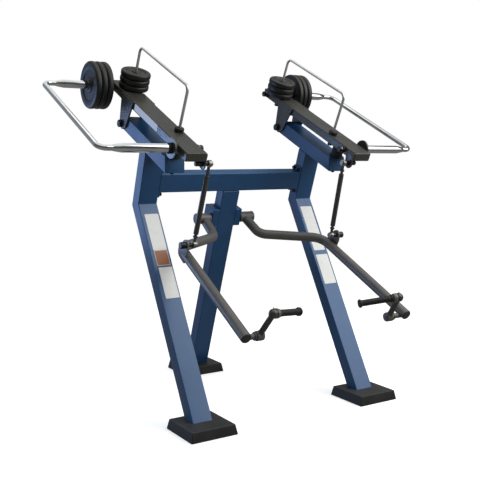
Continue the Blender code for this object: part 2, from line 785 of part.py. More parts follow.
def grip(side):
    """Rubber grip with an end flange, turned about its spindle."""
    start, direction, length = gripDirection(side)
    first, last = 0.036 + gap, length + 0.004
    inner = 0.0090 + gap
    run = last - first
    deep = length - 0.0055 - first
    profile = [(0, run), (0.018, run), (0.0215, run - 0.003), (0.0215, run - 0.009), (gripRadius, run - 0.013),
               (gripRadius, 0.002), (gripRadius - 0.002, 0), (inner, 0), (inner, deep), (0, deep)]
    return moved(turned(profile, 20), alongLine(start + direction * first, start + direction * last))


def build():
    clearScene()
    collection = makeCollection(collectionName)
    paintBlue = makeMaterial("frame_blue_paint", frameBlue, 0.35, 0.42)
    paintGrey = makeMaterial("lever_grey_paint", leverGrey, 0.35, 0.50)
    paintArm = makeMaterial("arm_grey_paint", armGrey, 0.35, 0.45)
    rubber = makeMaterial("black_rubber", rubberBlack, 0.0, 0.72)
    plastic = makeMaterial("black_plastic", capBlack, 0.0, 0.50)
    chrome = makeMaterial("chrome", chromeSteel, 1.0, 0.10)
    zinc = makeMaterial("zinc_plated_steel", zincSteel, 0.9, 0.40)

    bodies = Bodies(collection)
    bodies.add("frame", (0, 0, 0))
    for side in (leftSide, rightSide):
        name = sideName[side]
        bodies.add("lever_" + name, atSide((stationX, pivotY, pivotZ), side), "frame")
        bodies.add("push_rod_" + name, atSide(rodTop, side), "lever_" + name)
        bodies.add("arm_" + name, atSide((0.150, hubY, hubZ), side), "frame")
        bodies.add("handle_" + name, atSide(swivel, side), "arm_" + name)
        bodies.add("grip_" + name, atSide(ball, side), "handle_" + name)
        bigPlace = onLever(plateStart, railHigh, (leverTop + leverBottom) / 2)
        bodies.add("big_plates_" + name, atSide(bigPlace, side), "lever_" + name)
        smallPlace = onLever(smallRailX, smallRailHigh, leverTop)
        bodies.add("small_plates_" + name, atSide(smallPlace, side), "lever_" + name)

    feet = [(-stationX, frontFootY), (stationX, frontFootY), (0, rearFootY)]
    footNames = ["left", "right", "rear"]
    for (x, y), name in zip(feet, footNames):
        bodies.carry(basePlate(x, y), "base_plate_" + name, "frame", paintBlue)
        outline = rearLegHole() if name == "rear" else frontLegHole()
        bodies.carry(footCover(x, y, outline, tubeWidth / 2 + 0.002), "foot_cover_" + name, "frame", plastic)
    bodies.carry(crossbeam(), "crossbeam", "frame", paintBlue)
    bodies.carry(rearLeg(), "rear_leg", "frame", paintBlue)
    bodies.carry(bearingHousing(), "bearing_housing", "frame", paintBlue)
    bodies.carry(armAxle(), "arm_axle", "frame", zinc)

    for side in (leftSide, rightSide):
        name = sideName[side]
        bodies.carry(frontLeg(side), "front_leg_" + name, "frame", paintBlue)
        bodies.carry(baseBeam(side), "base_beam_" + name, "frame", paintBlue)
        bodies.carry(pivotPin(side), "pivot_pin_" + name, "frame", plastic)
        bodies.carry(bumper(side), "lever_stop_" + name, "frame", rubber)
        lever = "lever_" + name
        bodies.carry(leverTube(side), "lever_tube_" + name, lever, paintGrey)
        bodies.carry(leverBracket(side), "lever_bracket_" + name, lever, paintGrey)
        bodies.carry(bigRail(side), "big_rail_" + name, lever, chrome)
        bodies.carry(smallRail(side), "small_rail_" + name, lever, chrome)
        bodies.carry(stopRing(side), "stop_ring_" + name, lever, rubber)
        bodies.carry(railCollar(side), "rail_collar_" + name, lever, rubber)
        bodies.carry(railNut(side, railHigh), "rail_nut_upper_" + name, lever, plastic)
        bodies.carry(railNut(side, railLow), "rail_nut_lower_" + name, lever, plastic)
        bodies.carry(rodBracket(side), "rod_bracket_" + name, lever, plastic)
        for index in range(3):
            number = str(index + 1)
            bodies.carry(bigPlate(side, index), "big_plate_" + name + "_" + number, "big_plates_" + name, rubber)
            bodies.carry(smallPlate(side, index), "small_plate_" + name + "_" + number,
                         "small_plates_" + name, rubber)
        bodies.carry(pushRod(side), "push_rod_" + name, "push_rod_" + name, paintArm)
        arm = "arm_" + name
        bodies.carry(armTube(side), "arm_tube_" + name, arm, paintArm)
        bodies.carry(armHub(side), "arm_hub_" + name, arm, paintArm)
        bodies.carry(lugBolt(side), "lug_bolt_" + name, arm, plastic)
        bodies.carry(handleLink(side), "handle_link_" + name, "handle_" + name, paintArm)
        bodies.carry(grip(side), "grip_" + name, "grip_" + name, rubber)


build()
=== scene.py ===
import json
import math

import bpy
from mathutils import Matrix, Vector

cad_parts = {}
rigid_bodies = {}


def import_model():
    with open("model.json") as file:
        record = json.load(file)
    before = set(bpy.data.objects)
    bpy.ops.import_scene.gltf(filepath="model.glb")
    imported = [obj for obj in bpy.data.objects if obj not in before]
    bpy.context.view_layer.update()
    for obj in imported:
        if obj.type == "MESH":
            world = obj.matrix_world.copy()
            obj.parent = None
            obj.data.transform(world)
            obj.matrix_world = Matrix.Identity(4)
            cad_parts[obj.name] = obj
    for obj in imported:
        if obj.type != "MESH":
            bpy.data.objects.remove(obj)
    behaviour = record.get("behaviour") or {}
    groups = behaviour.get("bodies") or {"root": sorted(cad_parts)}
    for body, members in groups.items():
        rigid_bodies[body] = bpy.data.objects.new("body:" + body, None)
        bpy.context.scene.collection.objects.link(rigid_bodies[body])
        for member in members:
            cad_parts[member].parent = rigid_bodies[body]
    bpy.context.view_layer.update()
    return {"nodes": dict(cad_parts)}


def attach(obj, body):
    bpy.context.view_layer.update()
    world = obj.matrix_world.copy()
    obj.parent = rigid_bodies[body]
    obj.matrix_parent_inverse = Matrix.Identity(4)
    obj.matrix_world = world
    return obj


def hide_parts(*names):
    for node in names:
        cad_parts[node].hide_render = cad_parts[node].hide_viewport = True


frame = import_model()

# Outdoor biceps machine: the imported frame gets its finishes, the round pieces are modelled again over it.
# Numbers are in the drawing's metres: X to the machine's right, Y to its back, Z up, zero at the users' side.
drawing = {
    "backShift": -0.4283,     # from the drawing's zero to the middle of the footprint
    "stationX": 0.563,        # middle of a station
    "halfTube": 0.060,
    "pivot": (0.880, 1.636),  # axis of a weight lever
    "leverTilt": 24.9,
    "leverMiddle": 0.148,     # height of the rails' axis over the pivot, square to the lever
    "knee": (0.684, 1.170),
    "legLean": 29.8,
    "postLean": 18.93,
    "crossBottom": 1.2325,
    "arcSteps": 6,
}


def shift(x, y, z):
    return Matrix.Translation((x, y, z))


def turned(degrees, axis):
    return Matrix.Rotation(math.radians(degrees), 4, axis)


def alongLine(start, end):
    # lays a piece's own Z on the line from start to end
    direction = (Vector(end) - Vector(start)).normalized()
    return shift(*start) @ direction.to_track_quat("Z", "Y").to_matrix().to_4x4()


toWorld = shift(0, drawing["backShift"], 0)
toLever = toWorld @ shift(0, *drawing["pivot"]) @ turned(drawing["leverTilt"], "X")


# Ways of modelling

def clearSelection():
    if bpy.context.object and bpy.context.object.mode != "OBJECT":
        bpy.ops.object.mode_set(mode="OBJECT")
    bpy.ops.object.select_all(action="DESELECT")


def pickOnly(piece):
    clearSelection()
    piece.select_set(True)
    bpy.context.view_layer.objects.active = piece


def drawChain(points):
    # a small plane merged to one vertex, which is then pulled out from point to point
    clearSelection()
    bpy.ops.mesh.primitive_plane_add(size=0.01)
    bpy.ops.object.mode_set(mode="EDIT")
    bpy.ops.mesh.select_mode(type="VERT")
    bpy.ops.mesh.merge(type="CENTER")
    bpy.ops.transform.translate(value=points[0])
    for before, after in zip(points, points[1:]):
        step = Vector(after) - Vector(before)
        bpy.ops.mesh.extrude_vertices_move(TRANSFORM_OT_translate={"value": step})
    bpy.ops.mesh.select_all(action="SELECT")
    return bpy.context.object


def closeShape(mergeDistance=0.00001):
    # in edit mode: weld, turn the faces outwards, and leave edit mode
    bpy.ops.mesh.select_all(action="SELECT")
    bpy.ops.mesh.remove_doubles(threshold=mergeDistance)
    bpy.ops.mesh.normals_make_consistent(inside=False)
    bpy.ops.object.mode_set(mode="OBJECT")


def turnPiece(profile, segments=48):
    # a (radius, height) profile spun about Z; a profile that ends where it starts is a ring
    piece = drawChain([(radius, 0, height) for radius, height in profile])
    bpy.ops.mesh.spin(steps=segments, angle=math.tau, center=(0, 0, 0), axis=(0, 0, 1))
    closeShape()
    return piece


def arcPoints(centre, radius, start, end, steps=drawing["arcSteps"]):
    # points of a circle's arc in a profile or outline, angles in degrees
    angles = [math.radians(start + (end - start) * i / steps) for i in range(steps + 1)]
    return [(centre[0] + radius * math.cos(a), centre[1] + radius * math.sin(a)) for a in angles]


def bevelEdges(piece, width, segments=3, angle=35):
    pickOnly(piece)
    bpy.ops.object.modifier_add(type="BEVEL")
    bevel = piece.modifiers[-1]
    bevel.width = width
    bevel.segments = segments
    bevel.limit_method = "ANGLE"
    bevel.angle_limit = math.radians(angle)
    bpy.ops.object.modifier_apply(modifier=bevel.name)
    return piece


def cutPlate(outline, xRange, bevel=0.0015):
    # a (y, z) outline filled and pulled along X
    piece = drawChain([(xRange[0], y, z) for y, z in outline])
    bpy.ops.mesh.edge_face_add()
    bpy.ops.mesh.extrude_region_move(TRANSFORM_OT_translate={"value": (xRange[1] - xRange[0], 0, 0)})
    closeShape()
    return bevelEdges(piece, bevel) if bevel else piece


def hexPrism(radius, height, chamfer=0.0012):
    # six-sided nut body with its top corners taken off
    clearSelection()
    bpy.ops.mesh.primitive_circle_add(vertices=6, radius=radius, fill_type="NGON")
    piece = bpy.context.object
    bpy.ops.object.mode_set(mode="EDIT")
    bpy.ops.mesh.select_all(action="SELECT")
    bpy.ops.mesh.extrude_region_move(TRANSFORM_OT_translate={"value": (0, 0, height)})
    closeShape()
    return bevelEdges(piece, chamfer, 2, 50)


def bendTube(corners, bends, radius, sides=6, arcSteps=10):
    # a Bezier path with true arcs at its corners, given a round bevel and made a mesh
    clearSelection()
    bpy.ops.curve.primitive_bezier_curve_add()
    tube = bpy.context.object
    path = tube.data.splines[0].bezier_points
    corners = [Vector(corner) for corner in corners]
    places = [(corners[0], None, None)]
    for before, corner, after, bend in zip(corners, corners[1:], corners[2:], bends):
        inward, outward = (before - corner).normalized(), (after - corner).normalized()
        turn = math.pi - inward.angle(outward)
        reach = bend * math.tan(turn / 2)
        pull = 4 / 3 * math.tan(turn / 4) * bend
        places.append((corner + inward * reach, None, corner + inward * (reach - pull)))
        places.append((corner + outward * reach, corner + outward * (reach - pull), None))
    places.append((corners[-1], None, None))
    path.add(len(places) - 2)
    for index, (point, (place, left, right)) in enumerate(zip(path, places)):
        point.handle_left_type = point.handle_right_type = "FREE"
        point.co = place
        before = places[max(index - 1, 0)][0]
        after = places[min(index + 1, len(places) - 1)][0]
        point.handle_left = left or place.lerp(before, 1 / 3)
        point.handle_right = right or place.lerp(after, 1 / 3)
    tube.data.dimensions = "3D"
    tube.data.resolution_u = arcSteps
    tube.data.bevel_depth = radius
    tube.data.bevel_resolution = sides
    tube.data.use_fill_caps = True
    pickOnly(tube)
    bpy.ops.object.convert(target="MESH")
    bpy.ops.object.mode_set(mode="EDIT")
    closeShape()
    return bpy.context.object


def placePiece(piece, matrix):
    pickOnly(piece)
    piece.matrix_world = matrix @ piece.matrix_world
    bpy.ops.object.transform_apply(location=True, rotation=True, scale=True)
    return piece


def copyPiece(piece, matrix):
    pickOnly(piece)
    bpy.ops.object.duplicate()
    return placePiece(bpy.context.object, matrix)


def mirrorPiece(piece):
    # the same piece on the machine's left, with its faces turned outwards again
    other = copyPiece(piece, Matrix.Diagonal((-1, 1, 1, 1)))
    bpy.ops.object.mode_set(mode="EDIT")
    closeShape()
    return other


# Finishes

def hexColour(text):
    # sRGB hex to the linear colour that a shader takes
    channels = [int(text[i:i + 2], 16) / 255 for i in (1, 3, 5)]
    linear = [c / 12.92 if c <= 0.04045 else ((c + 0.055) / 1.055) ** 2.4 for c in channels]
    return (*linear, 1.0)


def addNode(tree, kind, settings=None, links=None):
    node = tree.nodes.new(kind)
    for key, value in (settings or {}).items():
        if isinstance(key, int) or key in node.inputs:
            node.inputs[key].default_value = value
        else:
            setattr(node, key, value)
    for key, source in (links or {}).items():
        tree.links.new(source, node.inputs[key])
    return node


def startMaterial(name, shaderSettings, *noises):
    # each noise is given by its size in mm and its detail; a scale is how often a pattern repeats in a metre
    material = bpy.data.materials.new(name)
    material.use_nodes = True
    tree = material.node_tree
    shader = tree.nodes["Principled BSDF"]
    for socket, value in shaderSettings.items():
        shader.inputs[socket].default_value = value
    place = addNode(tree, "ShaderNodeTexCoord").outputs["Object"]
    fields = [addNode(tree, "ShaderNodeTexNoise", {"Scale": 1000 / sizeMm, "Detail": detail},
                      {"Vector": place}).outputs["Fac"] for sizeMm, detail in noises]
    return material, tree, shader, *fields


noiseMiddle = {"From Min": 0.3, "From Max": 0.7}  # most of a noise's values lie between these
mixSockets = {"factor": 0, "below": 6, "over": 7, "result": 2}  # of a Mix node that is set to colours
edgeTurn = {"From Min": 0.99, "From Max": 0.80}  # for the painted edge highlight: bevelled normal times plain one, flat ground to an edge


def layerColours(tree, ground, *layers):
    # colours laid over one another, each as far as its own factor lets it
    below = None
    for factor, colour in layers:
        mix = addNode(tree, "ShaderNodeMix", {"data_type": "RGBA", mixSockets["below"]: hexColour(ground),
                                              mixSockets["over"]: hexColour(colour)},
                      {mixSockets["factor"]: factor})
        if below is not None:
            tree.links.new(below, mix.inputs[mixSockets["below"]])
        below = mix.outputs[mixSockets["result"]]
    return below


def paintedEdgeHighlight(tree, widthMm, amount):
    # painted highlight along outside edges: 0 on flat ground and up to the amount on an outside edge, from
    # the bevelled normal
    rounded = addNode(tree, "ShaderNodeBevel", {"samples": 4, "Radius": widthMm / 1000}).outputs["Normal"]
    plain = addNode(tree, "ShaderNodeNewGeometry").outputs["Normal"]
    same = addNode(tree, "ShaderNodeVectorMath", {"operation": "DOT_PRODUCT"}, {0: rounded, 1: plain})
    return addNode(tree, "ShaderNodeMapRange", {**edgeTurn, "To Max": amount},
                   {"Value": same.outputs["Value"]}).outputs["Result"]


def joinShader(tree, shader, look, cloud, relief, *layers):
    # the cloud turns dark to light and sharp to dull, more layers go over it, and relief is a height, its
    # strength and its depth in mm
    tone = addNode(tree, "ShaderNodeMapRange", noiseMiddle, {"Value": cloud}).outputs["Result"]
    low, high = look["roughness"]
    rough = addNode(tree, "ShaderNodeMapRange", {**noiseMiddle, "To Min": low, "To Max": high},
                    {"Value": cloud})
    height, strength, depthMm = relief
    bump = addNode(tree, "ShaderNodeBump", {"Strength": strength, "Distance": depthMm / 1000},
                   {"Height": height})
    colour = layerColours(tree, look["dark"], (tone, look["light"]), *layers)
    tree.links.new(colour, shader.inputs["Base Color"])
    tree.links.new(rough.outputs["Result"], shader.inputs["Roughness"])
    tree.links.new(bump.outputs["Normal"], shader.inputs["Normal"])


def powderCoat(name, look, edgeMm=4, flakeMm=5, dullFlakes=0.55):
    # baked powder paint with metal flake: a fine orange peel and a soft sheen that pales at grazing angles
    material, tree, shader, cloud, peel = startMaterial(name, {"Metallic": look["metallic"], "IOR": 1.5},
                                                        (look["cloudMm"], 3.0), (look["peelMm"], 2.0))
    place = addNode(tree, "ShaderNodeTexCoord").outputs["Object"]
    flake = addNode(tree, "ShaderNodeTexVoronoi", {"Scale": 1000 / flakeMm},
                    {"Vector": place}).outputs["Color"]
    grains = addNode(tree, "ShaderNodeSeparateColor", None, {"Color": flake}).outputs["Red"]
    sparkle = addNode(tree, "ShaderNodeMapRange", {"From Min": dullFlakes, "To Max": look["sparkle"]},
                      {"Value": grains}).outputs["Result"]
    # the flake colour also goes on outside edges as a painted highlight
    joinShader(tree, shader, look, cloud, (peel, look["peelStrength"], look["peelMm"]),
               (sparkle, look["flake"]), (paintedEdgeHighlight(tree, edgeMm, look["edgeHighlight"]), look["flake"]))
    return material


def mouldedFinish(name, look, edgeMm=2, dustFrom=0.1):
    # rubber or plastic from a mould: a fine grain, faint clouding, and dust that settles on upward faces
    material, tree, shader, cloud, grain = startMaterial(name, {"IOR": look["ior"]}, (look["cloudMm"], 4.0),
                                                         (look["grainMm"], 1.0))
    facing = addNode(tree, "ShaderNodeNewGeometry").outputs["Normal"]
    upward = addNode(tree, "ShaderNodeSeparateXYZ", None, {"Vector": facing}).outputs["Z"]
    settled = addNode(tree, "ShaderNodeMapRange", {"From Min": dustFrom, "To Max": look["dust"]},
                      {"Value": upward}).outputs["Result"]
    uneven = addNode(tree, "ShaderNodeMapRange", {**noiseMiddle, "To Min": 0.5},
                     {"Value": cloud}).outputs["Result"]
    dust = addNode(tree, "ShaderNodeMath", {"operation": "MULTIPLY"}, {0: settled, 1: uneven})
    # outside edges get a painted highlight in the lighter edge colour
    joinShader(tree, shader, look, cloud, (grain, look["grainStrength"], look["grainMm"]),
               (dust.outputs["Value"], look["dustColour"]),
               (paintedEdgeHighlight(tree, edgeMm, look["edgeHighlight"]), look["edgeHighlightColour"]))
    return material


def bareMetal(name, look, scuffDepthMm=0.3):
    # plated or polished steel: smudges and fine scuffs that only change how sharp the reflection is
    material, tree, shader, smudge, scuff = startMaterial(name, {"Metallic": 1.0}, (look["smudgeMm"], 5.0),
                                                          (look["scuffMm"], 2.0))
    joinShader(tree, shader, look, smudge, (scuff, look["scuffStrength"], scuffDepthMm))
    return material


paintLooks = {
    # real flake is about 0.1 mm; it is drawn 5 mm wide and faint, so that it breaks up the paint a little
    # frame: deep blue with a satin sheen
    # each look's edge amount paints a highlight along outside edges in its flake colour
    "bluePowderCoat": {"dark": "#245180", "light": "#29598a", "flake": "#4d76a4", "metallic": 0.05,
                       "cloudMm": 160, "peelMm": 2.2, "sparkle": 0.06,
                       "roughness": (0.30, 0.38), "peelStrength": 0.12, "edgeHighlight": 0.30},
    # levers, push rods and handle links: near black, smooth enough that their tops pale under the light
    "graphitePowderCoat": {"dark": "#3f3e3b", "light": "#464541", "flake": "#8d8b84", "metallic": 0.05,
                           "cloudMm": 120, "peelMm": 2.2, "sparkle": 0.10,
                           "roughness": (0.24, 0.32), "peelStrength": 0.15, "edgeHighlight": 0.25},
    # arms: mid grey with a broad soft sheen along the tube
    "greyPowderCoat": {"dark": "#636160", "light": "#6d6b69", "flake": "#918f8b", "metallic": 0.15,
                       "cloudMm": 80, "peelMm": 2.0, "sparkle": 0.10,
                       "roughness": (0.36, 0.46), "peelStrength": 0.15, "edgeHighlight": 0.25},
}
mouldedLooks = {
    # real mould grain is about 0.2 mm; it is drawn about 1 mm wide, so that it still softens a highlight
    # weight plates: matt black rubber, greyed by dust on top
    # each look's edge amount and edge colour paint a highlight along outside edges
    "weightRubber": {"dark": "#0f0f0e", "light": "#171615", "dustColour": "#77746a", "edgeHighlightColour": "#3c3b38",
                     "ior": 1.52, "cloudMm": 140, "grainMm": 1.6, "roughness": (0.44, 0.52),
                     "grainStrength": 0.20, "dust": 0.22, "edgeHighlight": 0.5},
    # stops, rings and grips: dull black rubber
    "stopRubber": {"dark": "#131313", "light": "#1d1d1c", "dustColour": "#4a4842", "edgeHighlightColour": "#302f2d",
                   "ior": 1.52, "cloudMm": 30, "grainMm": 1.2, "roughness": (0.55, 0.72),
                   "grainStrength": 0.4, "dust": 0.15, "edgeHighlight": 0.4},
    # end plugs of the arms: brownish grey plastic, a little glossier than rubber
    "plugPlastic": {"dark": "#332e2b", "light": "#3f3935", "dustColour": "#5a544c", "edgeHighlightColour": "#57514a",
                    "ior": 1.46, "cloudMm": 18, "grainMm": 0.9, "roughness": (0.42, 0.55),
                    "grainStrength": 0.2, "dust": 0.15, "edgeHighlight": 0.4},
    # bolt and nut caps: black plastic with a clear highlight
    "capPlastic": {"dark": "#0e0e0f", "light": "#161617", "dustColour": "#3a3935", "edgeHighlightColour": "#2a2a2a",
                   "ior": 1.46, "cloudMm": 25, "grainMm": 0.9, "roughness": (0.32, 0.44),
                   "grainStrength": 0.15, "dust": 0.10, "edgeHighlight": 0.4},
    # foot covers: coarse charcoal plastic
    "footCoverPlastic": {"dark": "#1c1c1c", "light": "#272726", "dustColour": "#6a675d", "edgeHighlightColour": "#3f3e3b",
                         "ior": 1.46, "cloudMm": 70, "grainMm": 1.4, "roughness": (0.48, 0.62),
                         "grainStrength": 0.35, "dust": 0.12, "edgeHighlight": 0.4},
    # bare pale vinyl, a little chalky and dusty
    "panelVinyl": {"dark": "#f3f4f1", "light": "#fcfcfa", "dustColour": "#e4e1d8", "edgeHighlightColour": "#e6e4dc",
                   "ior": 1.5, "cloudMm": 40, "grainMm": 1.0, "roughness": (0.36, 0.50),
                   "grainStrength": 0.05, "dust": 0.2, "edgeHighlight": 0.2},
    # plain brown vinyl, faded a little
    "brownVinyl": {"dark": "#9c5624", "light": "#ad652c", "dustColour": "#b8976f", "edgeHighlightColour": "#ad7f56",
                   "ior": 1.5, "cloudMm": 30, "grainMm": 1.0, "roughness": (0.36, 0.50),
                   "grainStrength": 0.05, "dust": 0.1, "edgeHighlight": 0.2},
}
metalLooks = {
    # real scuffs are hair fine; they are drawn 1 to 1.5 mm wide, so that they show at all
    # big rails: mirror bright, with dark and light streaks of the room along the bar
    "polishedChrome": {"dark": "#c9cbce", "light": "#dcdee0", "smudgeMm": 45, "scuffMm": 1.5,
                       "roughness": (0.06, 0.08), "scuffStrength": 0.003},
    # small rails: the same plating left satin, so the streaks run together
    "satinChrome": {"dark": "#d4d5d7", "light": "#e2e3e4", "smudgeMm": 60, "scuffMm": 1.0,
                    "roughness": (0.38, 0.46), "scuffStrength": 0.01},
    # bolts and rod ends: dull warm grey
    "zincPlate": {"dark": "#85827c", "light": "#9a978f", "smudgeMm": 12, "scuffMm": 1.0,
                  "roughness": (0.34, 0.48), "scuffStrength": 0.2},
}
finishes = {name: powderCoat(name, look) for name, look in paintLooks.items()}
finishes.update({name: mouldedFinish(name, look) for name, look in mouldedLooks.items()})
finishes.update({name: bareMetal(name, look) for name, look in metalLooks.items()})
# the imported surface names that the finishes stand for
finishSlots = {"graphitePowderCoat": "arm_grey_paint", "greyPowderCoat": "arm_grey_paint",
               "weightRubber": "weight_rubber", "stopRubber": "black_rubber",
               "plugPlastic": "black_cap_plastic", "capPlastic": "black_cap_plastic",
               "polishedChrome": "rail_chrome", "satinChrome": "rail_chrome", "zincPlate": "axle_steel"}


def finishPiece(piece, name, finish, body, *replaced, slot=None, angle=35):
    # smooth shading, name and finish; the body it rides on, and the nodes it stands for, which are hidden
    pickOnly(piece)
    bpy.ops.object.shade_smooth_by_angle(angle=math.radians(angle))
    piece.name = name
    piece.data.name = name
    piece.data.materials.clear()
    piece.data.materials.append(finishes[finish])
    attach(piece, body)
    slot = slot or finishSlots.get(finish)
    if replaced:
        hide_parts(*replaced)


def finishPair(piece, name, finish, body, *replaced, slot=None, angle=35):
    # the modelled piece is the right one; names hold SIDE where the side goes
    other = mirrorPiece(piece)
    for one, side in ((piece, "right"), (other, "left")):
        words = [text.replace("SIDE", side) for text in (name, body, *replaced)]
        finishPiece(one, words[0], finish, *words[1:], slot=slot, angle=angle)


print("finishes made")


# Frame nodes that keep their shape

nodeFinishes = {
    "bluePowderCoat": ["front_leg_SIDE", "base_beam_SIDE", "crossbeam", "rear_leg", "bearing_housing",
                       "base_plate_SIDE", "base_plate_rear"],
    "graphitePowderCoat": ["lever_tube_SIDE", "lever_bracket_SIDE"],
    "footCoverPlastic": ["foot_cover_SIDE", "foot_cover_rear"],
    "zincPlate": ["arm_axle"],
}
nodeShading = {"weld": 0.00002, "crispAngle": 50}


def dressNode(name, material):
    # the solid keeps its mesh; modifiers weld it for shading and keep its edges crisp
    node = frame["nodes"][name]
    node.data.materials.clear()
    node.data.materials.append(material)
    for polygon in node.data.polygons:
        polygon.use_smooth = True
    node.modifiers.new("weld", "WELD").merge_threshold = nodeShading["weld"]
    node.modifiers.new("crisp", "EDGE_SPLIT").split_angle = math.radians(nodeShading["crispAngle"])
    node.modifiers.new("evenShading", "WEIGHTED_NORMAL").keep_sharp = True


for finish, names in nodeFinishes.items():
    for name in sorted({name.replace("SIDE", side) for name in names for side in ("left", "right")}):
        dressNode(name, finishes[finish])
print("frame nodes dressed")


# Weight plates: big ones in a row on the upper sleeve, small ones stacked on the small rail

bigPlate = {"radius": 0.1395, "half": 0.0179, "bore": 0.0262, "round": 0.0130, "rimInner": 0.0935,
            "recess": 0.0070, "hub": 0.0450, "first": 0.674, "step": 0.0364, "along": 0.216}
smallPlate = {"radius": 0.0890, "half": 0.0176, "bore": 0.0100, "round": 0.0120, "rimInner": 0.0600,
              "recess": 0.0060, "hub": 0.0260, "first": 0.1736, "step": 0.0358, "along": 0.129,
              "railX": 0.5335}
plateEdge = {"bore": 0.0015, "rimDrop": 0.0010, "rimRun": 0.0025, "softShare": 0.7}
plateCount = 3


def plateProfile(plate):
    # one face from bore to rim, then the same mirrored, so both faces are alike
    half, recess = plate["half"], plate["half"] - plate["recess"]
    soft = plate["recess"] * plateEdge["softShare"]
    face = [(plate["bore"], half - plateEdge["bore"]), (plate["bore"] + plateEdge["bore"], half),
            (plate["hub"] - soft, half)]
    face += arcPoints((plate["hub"] - soft, half - soft), soft, 70, 10, 3)
    face += [(plate["hub"] + soft * 0.4, recess), (plate["rimInner"] - soft, recess)]
    face += [(plate["rimInner"], half - plateEdge["rimDrop"]),
             (plate["rimInner"] + plateEdge["rimRun"], half)]
    face += arcPoints((plate["radius"] - plate["round"], half - plate["round"]), plate["round"], 90, 0)
    other = [(radius, -height) for radius, height in reversed(face)]
    return face + other + face[:1]


for plate, segments, kind in ((bigPlate, 72, "big"), (smallPlate, 64, "small")):
    model = turnPiece(plateProfile(plate), segments)
    for index in range(plateCount):
        middleOfPlate = plate["first"] + plate["half"] + index * plate["step"]
        if kind == "big":
            matrix = toLever @ shift(middleOfPlate, plate["along"], drawing["leverMiddle"]) @ turned(90, "Y")
        else:
            matrix = toLever @ shift(plate["railX"], plate["along"], middleOfPlate)
        number = str(index + 1)
        finishPair(copyPiece(model, matrix), kind + "_weight_plate_SIDE_" + number, "weightRubber",
                   kind + "_weight_SIDE_" + number, kind + "_plate_SIDE_" + number, angle=40)
    bpy.data.objects.remove(model)
print("weight plates made")


# Rails

bigRail = {"low": -0.665, "high": 0.216, "reach": 1.0554, "bend": 0.045, "thin": 0.0150, "sleeve": 0.0240,
           "start": 0.6575, "sleeveEnd": 0.936, "taperEnd": 0.982, "edge": 0.0015, "overlap": 0.004}
smallRail = {"x": 0.5335, "low": -0.502, "high": 0.129, "top": 0.4286, "foot": 0.1110, "radius": 0.0080,
             "bend": 0.035}
middle = drawing["leverMiddle"]
inner = bigRail["taperEnd"] - bigRail["overlap"]
corners = [(inner, bigRail["low"], middle), (bigRail["reach"], bigRail["low"], middle),
           (bigRail["reach"], bigRail["high"], middle), (inner, bigRail["high"], middle)]
bow = placePiece(bendTube(corners, (bigRail["bend"],) * 2, bigRail["thin"], 10, 12), toLever)
finishPair(bow, "big_rail_bow_SIDE", "polishedChrome", "lever_SIDE", "big_rail_SIDE")
# the sleeve is straight, and its taper ends in a small step on the thin bar
sleeveProfile = [(0, bigRail["start"]), (bigRail["sleeve"] - bigRail["edge"], bigRail["start"]),
                 (bigRail["sleeve"], bigRail["start"] + bigRail["edge"]),
                 (bigRail["sleeve"], bigRail["sleeveEnd"] - 0.002),
                 (bigRail["sleeve"] - 0.0004, bigRail["sleeveEnd"]),
                 (bigRail["thin"] + 0.0024, bigRail["taperEnd"] - 0.006),
                 (bigRail["thin"] + 0.0006, bigRail["taperEnd"]), (0, bigRail["taperEnd"])]
for along, word in ((bigRail["low"], "lower"), (bigRail["high"], "upper")):
    sleeve = turnPiece(sleeveProfile, 48)
    placePiece(sleeve, toLever @ alongLine((0, along, middle), (1, along, middle)))
    finishPair(sleeve, "big_rail_sleeve_" + word + "_SIDE", "polishedChrome", "lever_SIDE")

x = smallRail["x"]
corners = [(x, smallRail["low"], smallRail["foot"]), (x, smallRail["low"], smallRail["top"]),
           (x, smallRail["high"], smallRail["top"]), (x, smallRail["high"], smallRail["foot"])]
rail = placePiece(bendTube(corners, (smallRail["bend"],) * 2, smallRail["radius"], 6, 10), toLever)
finishPair(rail, "small_rail_bow_SIDE", "satinChrome", "lever_SIDE", "small_rail_SIDE")
print("rails made")


# Stops, collars, nuts and caps on the lever

rubberRing = {"outer": 0.0295, "inner": 0.0243, "width": 0.020, "round": 0.005, "x": 0.6578}
collar = {"outer": 0.0262, "inner": 0.0083, "height": 0.0215, "round": 0.005, "from": 0.1733}
capNut = {"washer": 0.0205, "washerThick": 0.009, "washerRound": 0.002, "nut": 0.0165, "nutEnd": 0.019,
          "cap": 0.0178, "capEnd": 0.036, "capRound": 0.005, "overlap": 0.001, "wall": 0.5027}
railFoot = {"radius": 0.0140, "height": 0.022, "round": 0.0045, "from": 0.1228}


def turnRing(outer, inner, height, rounding, segments=48):
    # a ring with both outer edges rounded
    top = arcPoints((outer - rounding, height - rounding), rounding, 90, 0)
    bottom = arcPoints((outer - rounding, rounding), rounding, 0, -90)
    return turnPiece([(inner, height)] + top + bottom + [(inner, 0), (inner, height)], segments)


def turnCap(radius, height, rounding, segments, foot=0.0):
    # a solid cap with a rounded top edge, and its foot chamfered if asked
    top = arcPoints((radius - rounding, height - rounding), rounding, 90, 0)
    return turnPiece([(0, height)] + top + [(radius, foot), (radius - foot, 0), (0, 0)], segments)


ring = turnRing(rubberRing["outer"], rubberRing["inner"], rubberRing["width"], rubberRing["round"])
placePiece(ring, toLever @ alongLine((rubberRing["x"], bigRail["low"], middle), (1, bigRail["low"], middle)))
finishPair(ring, "sleeve_stop_ring_SIDE", "stopRubber", "lever_SIDE", "stop_ring_SIDE")

ring = turnRing(collar["outer"], collar["inner"], collar["height"], collar["round"])
placePiece(ring, toLever @ shift(smallRail["x"], smallRail["low"], collar["from"]))
finishPair(ring, "small_rail_collar_SIDE", "stopRubber", "lever_SIDE", "rail_collar_SIDE")

